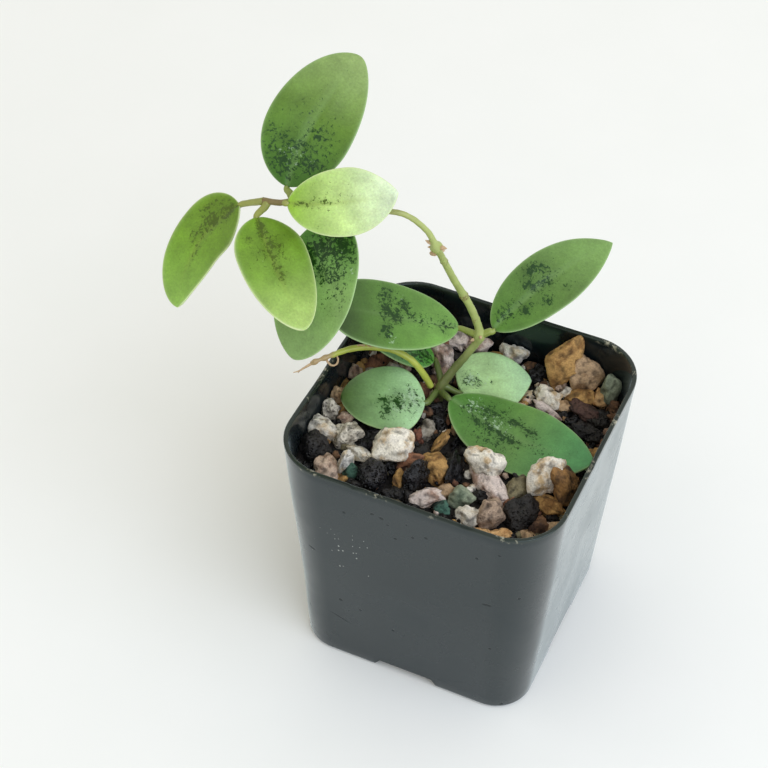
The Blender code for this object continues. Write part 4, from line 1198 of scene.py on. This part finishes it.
# How far a stone keeps under the leaves and shoots, how far from the shoots' foot it lies, and
# how much of it has to show; then how closely the blades and shoots are sampled for this
LEAF_CLEARANCE = 1.5
CROWN_CLEARANCE = 4.5
LEAST_SHOWING = 0.8
SAMPLES_ALONG = 16
SAMPLES_ACROSS = 3
SHOOT_STEP = 1.6
# The crumbs: their radius, how high they lie, how far under a stone they may go, and their shape
FINE_GRIT_TRIES = 800
FINE_GRIT_RADIUS = (0.6, 1.3)
FINE_GRIT_LIFT = 0.1
FINE_GRIT_UNDER = 0.55
FINE_GRIT_SHAPE = (0.7, 1.3)
# A stone's breaks: how many, how far they stray from an even spread, how far out they lie, how
# sharp the edges between them are, and how far out a corner may stand
STONE_FACETS = 13
FACET_STRAY = 0.45
FACET_REACH = (0.76, 1.02)
FACING_LEAST = 0.15
BREAK_SHARPNESS = 20
CORNER_LIMIT = 1.25
STONE_SWELL = 1.1
# Its broad unevenness; then dents, with the size, the depth and the share of the stone spared
STONE_LUMP = (1.7, 0.14)
DENT_SIZE = 1.3
DENT_DEPTH = 0.9
DENT_SPARED = 0.22
# Where a dent starts to take painted shade and where it is full, and how much darker it is there
HOLLOW_RANGE = (0.08, 0.42)
HOLLOW_SHADE = 0.6
# How much one stone is darker or lighter than the next
STONE_LIGHT = (0.86, 1.14)
# The roughness of a break: the size of its bumps and how far they stand out
STONE_RELIEF = ((1.5, 0.3), (0.7, 0.2), (0.35, 0.1))
# How much more rugged than the rest lava is
LAVA_RELIEF = 0.8
# From this half-size on a stone counts as large
LARGE_STONE = 3.3

# Kinds of stone: their own colour, the colour of their stains, and how far they are lava
KINDS = {
    "cream": ("#efe7d6", "#c8ab80", 0.0),
    "white": ("#ebe6da", "#cdb893", 0.0),
    "pink": ("#e2d1c6", "#ab8c7a", 0.0),
    "flesh": ("#d8bda5", "#987763", 0.0),
    "speckled": ("#b39a84", "#5e4a3a", 0.15),
    "orange": ("#dcb078", "#b98047", 0.0),
    "ochre": ("#bd9357", "#7f5a2e", 0.0),
    "tan": ("#c0a07b", "#80613f", 0.0),
    "pumice": ("#cfc6b4", "#8f8574", 0.35),
    "umber": ("#946c3c", "#5b4128", 0.1),
    "brown": ("#7d5b3f", "#40291d", 0.1),
    "red": ("#83503b", "#4c2a22", 0.1),
    "rust": ("#94664a", "#5c3c2d", 0.0),
    "grey": ("#ada596", "#6c6354", 0.0),
    "olive": ("#8a8060", "#4f4834", 0.1),
    "sage": ("#949d84", "#56634f", 0.0),
    "teal": ("#48705f", "#233c33", 0.1),
    "green": ("#3a5a48", "#1f332b", 0.1),
    "black": ("#111013", "#262427", 1.0),
    "dark": ("#221d1a", "#100e0d", 0.6),
    "plum": ("#553c34", "#2c1f1c", 0.2),
}
GRIT_MIX = ("cream",) * 3 + ("flesh",) * 2 + ("tan",) * 2 + ("ochre",) * 2 + (
    "brown",) * 3 + ("grey",) * 1 + ("olive",) + ("black",) * 6 + ("dark",) * 8 + (
    "rust", "pink")
# The stones on top: x, y, height of the centre over the bed, the half-sizes along the stone's
# own axes, its turn in degrees about Z, and its kind
STONES = (
    (-12.9, -13.7, 3.6, 5.4, 4.4, 4.3, 20, "cream"),
    (10.1, -8.7, 5.3, 4.5, 3.3, 4.7, -15, "cream"),
    (13.2, -12.8, 1.6, 6.2, 2.6, 2.1, -40, "pink"),
    (20.1, -10.4, 1.2, 2.8, 3.6, 3.1, -20, "olive"),
    (23.2, -17.5, 0.8, 4.1, 4.3, 3.9, 10, "dark"),
    (28.3, -11.6, 1.6, 5, 2.6, 2.1, -20, "ochre"),
    (25.5, -7.4, 6.4, 4.0, 3.0, 5.3, 35, "cream"),
    (30.6, -6.5, 5.3, 2.9, 4.2, 5.6, 20, "umber"),
    (17.1, -21.4, 1.4, 3.1, 3.8, 3.5, 10, "speckled"),
    (12.1, -24.3, 1, 3.2, 2.6, 2.4, 0, "cream"),
    (7.9, -19.6, 1.2, 3, 2.4, 2.4, 15, "sage"),
    (4.9, -24.9, 0.6, 2.3, 1.7, 1.5, 0, "teal"),
    (0.6, -24.3, 1.4, 4.1, 2, 2.3, 35, "pink"),
    (-4.1, -20, 1.6, 2, 4.3, 4.9, -15, "black"),
    (-1.3, -13.5, 1.6, 3.3, 4.4, 3.3, 25, "ochre"),
    (-8, -14.8, 1.2, 3.3, 2.2, 2.5, 30, "rust"),
    (-1.1, -0.5, -1.4, 1.2, 3, 2.8, -5, "black"),
    (2.7, -11.6, 0.8, 1.6, 4.4, 4.2, 5, "black"),
    (-4, -4.6, 1.2, 1.3, 3.4, 4, -10, "ochre"),
    (-8.9, -1.8, 0.4, 2.3, 2.5, 2.6, 0, "grey"),
    (-9.8, -5.6, 0.8, 1.3, 2.2, 2.5, 10, "red"),
    (-14.5, -23.7, 1.4, 3.8, 3.3, 3.6, 15, "black"),
    (-19.9, -24.6, 0.8, 1.2, 2.1, 3.4, -35, "green"),
    (-15.7, -16.9, 0.8, 1.9, 1.3, 1.3, 23, "teal"),
    (-22.1, -23.3, 1.8, 1.2, 3.1, 6, -10, "white"),
    (-20.2, -18, 1.2, 4, 1.6, 1.7, -25, "white"),
    (-25.6, -26.8, 1.2, 3, 3.5, 2.8, 20, "flesh"),
    (-31.7, -21.2, 0.4, 4.1, 4, 3.5, 15, "dark"),
    (-32.8, -14.9, 1.8, 3.5, 2.9, 3, -20, "cream"),
    (-26, -13.6, 1.4, 3.3, 3, 2.9, 10, "pumice"),
    (-33.6, -7.8, 1.9, 2.4, 2.4, 2.6, 10, "pumice"),
    (-33.8, -2.1, 2, 2.1, 1.9, 2.5, 0, "tan"),
    (-29.3, -8, 0.8, 2.2, 1.7, 1.4, 15, "flesh"),
    (-7.9, -26.8, 0.8, 2.7, 2.2, 1.9, 23, "dark"),
    (-7.7, -21.5, 0.6, 1.7, 2.4, 2.6, 0, "ochre"),
    (17, -27.1, 0.4, 2.2, 1.3, 1.2, 0, "orange"),
    (21.8, -25.6, 0.6, 2.8, 1.6, 1.3, 25, "orange"),
    (19.6, -15.7, 0.8, 1.2, 1.2, 2.1, 10, "rust"),
    (8.9, 23.9, -2, 2.4, 2.2, 2.6, 0, "white"),
    (14.5, 24.2, 1.4, 3.5, 2.7, 2.3, -20, "cream"),
    (15.8, 19.8, 0.8, 4.2, 1.2, 1.3, -15, "pink"),
    (9.1, 30.8, -0.5, 2.9, 2.8, 3.2, 0, "black"),
    (14.7, 30.6, 1, 3.1, 1.9, 1.5, -30, "flesh"),
    (18.9, 28.4, 1, 2.3, 1.6, 1.5, 30, "cream"),
    (15.7, 32.4, 7.6, 4.3, 3.5, 6.5, 15, "ochre"),
    (21.5, 32.5, 5, 3.9, 2.7, 5.5, 40, "tan"),
    (29.2, 32.5, 4.1, 2.9, 3, 4.6, 20, "sage"),
    (22.4, 28.2, 1.2, 3.4, 2.4, 2.7, 15, "ochre"),
    (26.8, 30.3, 1, 2.1, 2.4, 2.4, 30, "orange"),
    (25.6, 23.7, 1.4, 5.1, 2.6, 1.9, -10, "plum"),
    (19.3, 23.3, 0.8, 2.1, 1.8, 1.5, 23, "tan"),
    (31.7, 29.2, 0.8, 2.1, 2.1, 2.1, 23, "brown"),
    (1.1, 34.1, 2.4, 3.1, 2.2, 2.9, 20, "white"),
    (-8.6, 32.7, 1.8, 3.1, 2, 2.3, 15, "pink"),
    (-14, 32.2, 1.4, 3.1, 2.4, 2.4, 0, "pink"),
    (-15.9, 24.2, 1.6, 3.1, 3.1, 3.7, 20, "pink"),
    (-33.9, 8.5, 0.5, 1.9, 2, 2.3, 0, "flesh"),
    # These four dark stones by the right wall are partly painted shade: darker stones put where
    # shadow falls between the front crown leaf and the wall.
    (26.6, 17.3, 0.8, 2.8, 2.7, 2.6, 23, "dark"),
    (29.6, 22.8, 0.8, 2.7, 2.7, 2.7, 23, "dark"),
    (30.8, 16.8, 0.8, 2.4, 2.3, 2.2, 23, "dark"),
    (32.2, 24.2, 0.8, 1.8, 2.2, 2.6, 23, "brown"),
    (-9.3, 6.6, 0.8, 2.1, 1.9, 1.7, 23, "black"),
    (-11.7, 4.7, 0.8, 1.8, 1.6, 1.4, 23, "brown"),
    (-20.2, -9.8, 0.8, 2.6, 1.7, 1.3, 23, "black"),
    (-11.8, -18.4, 0.8, 1.7, 1.4, 1.3, 23, "black"),
    (11.9, -16.2, 0.8, 1.7, 1.5, 1.3, 23, "dark"),
    (0.4, 22.5, -0.4, 2.4, 2, 1.6, 23, "brown"),
    (0.2, 30.3, 0.4, 2.1, 1.9, 1.7, 23, "dark"),
)


def bed_height(x, y):
    """The height of the grit's surface over a place in the pot."""
    return BED_MIDDLE - BED_SLOPE * (x + y)


def blade_samples():
    """Points all over every blade."""
    samples = []
    for leaf in LEAVES.values():
        frames = blade_frames(leaf, FRAME_STEPS)
        to_pot = leaf_matrix(leaf)
        for i in range(SAMPLES_ALONG + 1):
            for j in range(2 * SAMPLES_ACROSS + 1):
                samples.append(to_pot @ blade_point(
                    leaf, frames, i / SAMPLES_ALONG, j / SAMPLES_ACROSS - 1))
    return samples


def room_above(place, radii, obstacles):
    """How far the stone must sink to stay under the leaves and stems over it."""
    sink = 0.0
    reach = max(radii[0], radii[1]) + LEAF_CLEARANCE
    for obstacle in obstacles:
        away = math.hypot(obstacle.x - place.x, obstacle.y - place.y) / reach
        if away < 1:
            top = place.z + (radii[2] + LEAF_CLEARANCE) * math.sqrt(1 - away * away)
            sink = max(sink, top - obstacle.z + LEAF_CLEARANCE)
    return sink


def on_bed(x, y, lift):
    """A place so far over the bed."""
    return Vector((x, y, lift + bed_height(x, y)))


def lay_stones():
    """Each stone's centre, half-sizes, turn and kind: the chosen ones, then grit between."""
    rng = random.Random(GRIT_SEED)
    kind_rng = random.Random(GRIT_SEED + 2)
    obstacles = blade_samples()
    shoots = CLIMBING_ROUTE[2:] + RUNNER_ROUTE
    obstacles += [place for place, _ in smooth_route(shoots, SHOOT_STEP)]
    crown = Vector(CLIMBING_ROUTE[1][0])
    stones = []
    for x, y, lift, a, b, c, turn, kind in STONES:
        lean = (rng.uniform(-CHOSEN_LEAN, CHOSEN_LEAN), rng.uniform(-CHOSEN_LEAN, CHOSEN_LEAN))
        stones.append([on_bed(x, y, lift), (a, b, c), (*lean, math.radians(turn)), kind])
    for _ in range(GRIT_TRIES):
        radius = rng.uniform(*GRIT_RADIUS)
        lift = rng.uniform(*GRIT_LIFT) * radius
        place = on_bed(rng.uniform(-GRIT_SPREAD, GRIT_SPREAD),
                       rng.uniform(-GRIT_SPREAD, GRIT_SPREAD), lift)
        radii = tuple(radius * rng.uniform(*GRIT_SHAPE) for _ in range(3))
        lean = [rng.uniform(-GRIT_LEAN, GRIT_LEAN) for _ in range(2)]
        tilt = (*lean, rng.uniform(0, math.pi))
        crowded = any(
            math.hypot(place.x - other.x, place.y - other.y)
            < GRIT_SPACING * (radius + (size[0] + size[1]) / 2)
            for other, size, _, _ in stones)
        if crowded or (place - crown).xy.length < CROWN_CLEARANCE:
            continue
        stones.append([place, radii, tilt, kind_rng.choice(GRIT_MIX)])
    chosen, filling = stones[:len(STONES)], stones[len(STONES):]
    for stone in filling:
        stone[0].z -= room_above(stone[0], stone[1], obstacles)
    return chosen, [
        stone for stone in filling
        if stone[0].z + stone[1][2] > on_bed(stone[0].x, stone[0].y, LEAST_SHOWING).z]


def lay_fine_grit(stones):
    """Crumbs in the gaps between the stones, a little sunk in the bed."""
    rng = random.Random(GRIT_SEED + 3)
    crumbs = []
    for _ in range(FINE_GRIT_TRIES):
        radius = rng.uniform(*FINE_GRIT_RADIUS)
        place = on_bed(rng.uniform(-GRIT_SPREAD, GRIT_SPREAD),
                       rng.uniform(-GRIT_SPREAD, GRIT_SPREAD), FINE_GRIT_LIFT)
        in_gap = all(
            math.hypot(place.x - other.x, place.y - other.y)
            > FINE_GRIT_UNDER * max(size[0], size[1])
            for other, size, _, _ in stones)
        if in_gap:
            radii = tuple(radius * rng.uniform(*FINE_GRIT_SHAPE) for _ in range(3))
            tilt = tuple(rng.uniform(0, math.pi) for _ in range(3))
            crumbs.append([place, radii, tilt, rng.choice(GRIT_MIX)])
    return crumbs


def inside_pot(place):
    """The place, drawn in where it would pass through the pot's wall."""
    half, corner = pot_section(place.z, POT_WALL + BED_GAP)
    flat = half - corner
    over = Vector((max(0.0, abs(place.x) - flat), max(0.0, abs(place.y) - flat)))
    if over.length > corner:
        over *= corner / over.length
        place.x = math.copysign(min(abs(place.x), flat) + over.x, place.x)
        place.y = math.copysign(min(abs(place.y), flat) + over.y, place.y)
    return place


def ball(subdivisions):
    """The points and faces of an even ball, to be broken into stones."""
    bm = bmesh.new()
    bmesh.ops.create_icosphere(bm, subdivisions=subdivisions, radius=1)
    bm.verts.ensure_lookup_table()
    points = [vert.co.normalized() for vert in bm.verts]
    faces = [[vert.index for vert in face.verts] for face in bm.faces]
    bm.free()
    return points, faces


def broken_stone(rng, points, place, radii, tilt, lava):
    """A crushed stone's points, each with how far it lies in a hollow: flat breaks that meet in
    blunt edges, rough all over and dented."""
    facets = []
    for i in range(STONE_FACETS):
        height = 1 - 2 * (i + 0.5) / STONE_FACETS
        angle = i * math.pi * (3 - math.sqrt(5))
        flat = math.sqrt(1 - height * height)
        normal = Vector((flat * math.cos(angle), flat * math.sin(angle), height))
        normal += Vector([rng.uniform(-FACET_STRAY, FACET_STRAY) for _ in range(3)])
        facets.append((normal.normalized(), rng.uniform(*FACET_REACH)))
    spin = Euler([rng.uniform(0, 2 * math.pi) for _ in range(3)]).to_matrix()
    seed = Vector([rng.uniform(-50, 50) for _ in range(3)])
    lay = Matrix.Translation(place) @ Euler(tilt).to_matrix().to_4x4()
    size = sum(radii) / 3
    rugged = 1 + LAVA_RELIEF * lava
    shape = []
    for out in points:
        turned = spin @ out
        total = 0.0
        for normal, away in facets:
            facing = turned.dot(normal)
            if facing > FACING_LEAST:
                total += math.exp(-BREAK_SHARPNESS * away / facing)
        reach = CORNER_LIMIT
        if total > 0:
            reach = min(reach, -math.log(total) / BREAK_SHARPNESS)
        reach += STONE_LUMP[1] * noise.noise(seed + out * STONE_LUMP[0])
        for grain, depth in STONE_RELIEF:
            reach += rugged * depth / size * noise.noise(seed + out * size / grain)
        dent = noise.noise(seed - out * size / DENT_SIZE)
        reach -= rugged * DENT_DEPTH / size * max(0.0, dent - DENT_SPARED)
        point = Vector((out.x * radii[0], out.y * radii[1], out.z * radii[2]))
        point = lay @ (point * reach * STONE_SWELL)
        shape.append((inside_pot(point), smooth_step(*HOLLOW_RANGE, dent)))
    return shape


def crushed_stone():
    """Pumice, gravel and lava: dry, matt and rough, stained, with open pores."""
    finish, tree, shader = start_material("crushed pumice, gravel and lava", {"IOR": 1.5})
    place = add_node(tree, "ShaderNodeTexCoord", output="Object")
    own = add_node(tree, "ShaderNodeAttribute", {"attribute_name": "stone_colour"}, output="Color")
    stain = add_node(tree, "ShaderNodeAttribute", {"attribute_name": "stain_colour"},
                     output="Color")
    lava = add_node(tree, "ShaderNodeAttribute", {"attribute_name": "lava"}, output="Fac")
    drift = add_node(tree, "ShaderNodeTexNoise", {
        "Scale": per_metre(4.5), "Detail": 5.0, "Roughness": 0.6}, {"Vector": place})
    stained = add_node(tree, "ShaderNodeMapRange", {
        "interpolation_type": "SMOOTHSTEP", "From Min": 0.46, "From Max": 0.66},
        {"Value": drift})
    base = add_node(tree, "ShaderNodeMix", {"data_type": "RGBA"},
                    {"Factor": stained, "A": own, "B": stain})
    # Mineral grains of half a millimetre and less.
    grains = add_node(tree, "ShaderNodeTexNoise", {
        "Scale": per_metre(0.45), "Detail": 4.0, "Roughness": 0.75}, {"Vector": place})
    gain = add_node(tree, "ShaderNodeMapRange", {
        "From Min": 0.3, "From Max": 0.7, "To Min": 0.68, "To Max": 1.26}, {"Value": grains})
    toned = add_node(tree, "ShaderNodeVectorMath", {"operation": "SCALE"},
                     {"Vector": base, "Scale": gain}, "Vector")
    # Gas holes: large and deep in lava, faint in the rest, painted dark for the shade inside them.
    holes = add_node(tree, "ShaderNodeTexVoronoi", {"Scale": per_metre(0.95)},
                     {"Vector": place}, "Distance")
    hole = add_node(tree, "ShaderNodeMapRange", {
        "interpolation_type": "SMOOTHSTEP", "From Min": 0.5, "From Max": 0.15},
        {"Value": holes})
    hole_share = add_node(tree, "ShaderNodeMapRange", {"To Min": 0.13, "To Max": 1.0},
                          {"Value": lava})
    hole_dark = add_node(tree, "ShaderNodeMath", {"operation": "MULTIPLY"},
                         {0: hole, 1: hole_share})
    colour = add_node(tree, "ShaderNodeMix", {"data_type": "RGBA", "B": linear("#120f0e")},
                      {"Factor": hole_dark, "A": toned})
    tree.links.new(colour, shader.inputs["Base Color"])
    # Broken lava has glassy faces that glint.
    rough = add_node(tree, "ShaderNodeMapRange", {"To Min": 0.85, "To Max": 0.24},
                     {"Value": lava})
    tree.links.new(rough, shader.inputs["Roughness"])
    pits = add_node(tree, "ShaderNodeMath", {"operation": "MULTIPLY", 1: -2.5},
                    {0: hole_dark})
    relief = add_node(tree, "ShaderNodeMath", {"operation": "ADD"}, {0: pits, 1: grains})
    normal = add_node(tree, "ShaderNodeBump", {"Strength": 1.0, "Distance": 0.0003},
                      {"Height": relief})
    tree.links.new(normal, shader.inputs["Normal"])
    return finish


def stone_piece(name, stones, subdivisions, seed):
    """One object of many stones, each point with its stone's colours, darkened in its hollows as
    painted shade.
    """
    rng = random.Random(seed)
    points, faces = ball(subdivisions)
    bm = bmesh.new()
    own, stain, lava = [], [], []
    for place, radii, tilt, kind in stones:
        colour, stains, share = KINDS[kind]
        shape = broken_stone(rng, points, place, radii, tilt, share)
        verts = [bm.verts.new(point) for point, _ in shape]
        for face in faces:
            bm.faces.new([verts[i] for i in face])
        light = rng.uniform(*STONE_LIGHT)
        for _, hollow in shape:
            # Hollows are painted darker, as shade.
            tone_and_shade = light * (1 - HOLLOW_SHADE * hollow)
            own.append(tuple(part * tone_and_shade for part in linear(colour)[:3]) + (1,))
            stain.append(tuple(part * tone_and_shade for part in linear(stains)[:3]) + (1,))
        lava += [float(share)] * len(verts)
    obj = mesh_piece(name, bm, stone_finish)
    point_attribute(obj, "stone_colour", lambda _, i: own[i])
    point_attribute(obj, "stain_colour", lambda _, i: stain[i])
    point_attribute(obj, "lava", lambda _, i: lava[i])
    return obj


def bed_of_fines():
    """The dark fill below the stones, from the pot's floor up to its rough surface."""
    inset = POT_WALL + BED_GAP
    rings = rounded_foot(POT_FLOOR + BED_GAP, inset)
    rings += levels_between(
        POT_FLOOR + BED_GAP + FOOT_ROUND, BED_MIDDLE - BED_EDGE_DROP, inset)
    for i in range(BED_RINGS):
        share = 1 - i / BED_RINGS
        ring = []
        for point in pot_outline(BED_MIDDLE, inset):
            x, y = point.x * share, point.y * share
            rough = sum(noise.noise(Vector((x / size, y / size, layer))) * height
                        for size, layer, height in BED_RELIEF)
            ring.append(Vector((x, y, bed_height(x, y) - BED_DEPTH + rough)))
        rings.append(ring)
    return closed_loft(rings)


stone_finish = crushed_stone()
chosen, between = lay_stones()
large = [stone for stone in chosen if max(stone[1]) >= LARGE_STONE]
small = [stone for stone in chosen if max(stone[1]) < LARGE_STONE]
for piece_name, stones, subdivisions, seed in (
        ("large_top_stones", large, 4, GRIT_SEED + 4),
        ("small_top_stones", small, 4, GRIT_SEED + 7),
        ("grit_between", between, 3, GRIT_SEED + 5),
        ("fine_grit", lay_fine_grit(chosen + between), 2, GRIT_SEED + 6)):
    dress(stone_piece(piece_name, stones, subdivisions, seed), "grit", "gravel_bed")
fines = mesh_piece("bed_of_fines", bed_of_fines(), stone_finish)
point_attribute(fines, "stone_colour", lambda *_: linear("#1d1611"))
point_attribute(fines, "stain_colour", lambda *_: linear("#0d0b0a"))
point_attribute(fines, "lava", lambda *_: 0.3)
dress(fines, "grit", "gravel_bed")

# ---------------------------------------------------------------------------------------------
# Floor. A plain board, far larger than the view, rolled with matt off-white paint that the
# roller leaves very slightly uneven in tone.

FLOOR_HALF = 3000


def painted_board():
    """Matt paint on board: pale and quiet, with no gloss to speak of."""
    finish, tree, shader = start_material("pale matt paint", {
        "Roughness": 0.6, "Specular IOR Level": 0.3})
    place = add_node(tree, "ShaderNodeTexCoord", output="Object")
    brush = add_node(tree, "ShaderNodeTexNoise", {"Scale": per_metre(40), "Detail": 4.0},
                     {"Vector": place})
    colour = add_node(tree, "ShaderNodeMix", {
        "data_type": "RGBA", "A": linear("#f1f2ee"), "B": linear("#f6f6f3")},
        {"Factor": brush})
    tree.links.new(colour, shader.inputs["Base Color"])
    return finish


bm = bmesh.new()
bmesh.ops.create_grid(bm, x_segments=1, y_segments=1, size=FLOOR_HALF)
floor = mesh_piece("floor", bm, painted_board())

# ---------------------------------------------------------------------------------------------
# Light. An even pale room lights the plant softly from every side. One large window to the
# right, a little cooler, gives the leaves and stones their lit and shaded sides.

world = bpy.data.worlds.new("pale room")
bpy.context.scene.world = world
world.use_nodes = True
room = world.node_tree.nodes["Background"]
room.inputs["Color"].default_value = linear("#fdfbf3")
room.inputs["Strength"].default_value = 0.83


def window(name, place, aim, size, watts, colour):
    """A square soft light at a place in metres, turned to what it lights."""
    light = bpy.data.lights.new(name, "AREA")
    light.size = size
    light.energy = watts
    light.color = linear(colour)[:3]
    obj = bpy.data.objects.new(name, light)
    bpy.context.scene.collection.objects.link(obj)
    obj.location = place
    obj.rotation_euler = (Vector(aim) - Vector(place)).to_track_quat("-Z", "Y").to_euler()


window("window", (1.0, -0.45, 0.95), (0, 0, 0.06), 1.4, 15, "#dde9ff")

# ---------------------------------------------------------------------------------------------
# Camera. A short telephoto from above the front right corner, tipped a degree on its side. It
# looks down at the grit and sees the front wall, the right wall and every leaf.

CAMERA_AZIMUTH = 23.44
CAMERA_ELEVATION = 46.13
CAMERA_ROLL = 1.29
CAMERA_DISTANCE = 591.1
CAMERA_AIM = (-34.8, 29.5, 40.0)
CAMERA_LENS = 99.6
SENSOR_WIDTH = 36

azimuth, elevation, roll = (
    math.radians(angle) for angle in (CAMERA_AZIMUTH, CAMERA_ELEVATION, CAMERA_ROLL))
back = Vector((math.sin(azimuth) * math.cos(elevation),
               -math.cos(azimuth) * math.cos(elevation), math.sin(elevation)))
right = Vector((math.cos(azimuth), math.sin(azimuth), 0))
up = back.cross(right)
turned_right = math.cos(roll) * right + math.sin(roll) * up
turned_up = -math.sin(roll) * right + math.cos(roll) * up
lens = bpy.data.cameras.new("camera")
lens.lens = CAMERA_LENS
lens.sensor_width = SENSOR_WIDTH
lens.clip_start = 0.01
camera = bpy.data.objects.new("camera", lens)
bpy.context.scene.collection.objects.link(camera)
stand = pot_place + Vector(CAMERA_AIM) * MM + back * CAMERA_DISTANCE * MM
turned = Matrix((turned_right, turned_up, back)).transposed().to_4x4()
camera.matrix_world = Matrix.Translation(stand) @ turned
bpy.context.scene.camera = camera
bpy.context.scene.view_settings.view_transform = "Standard"
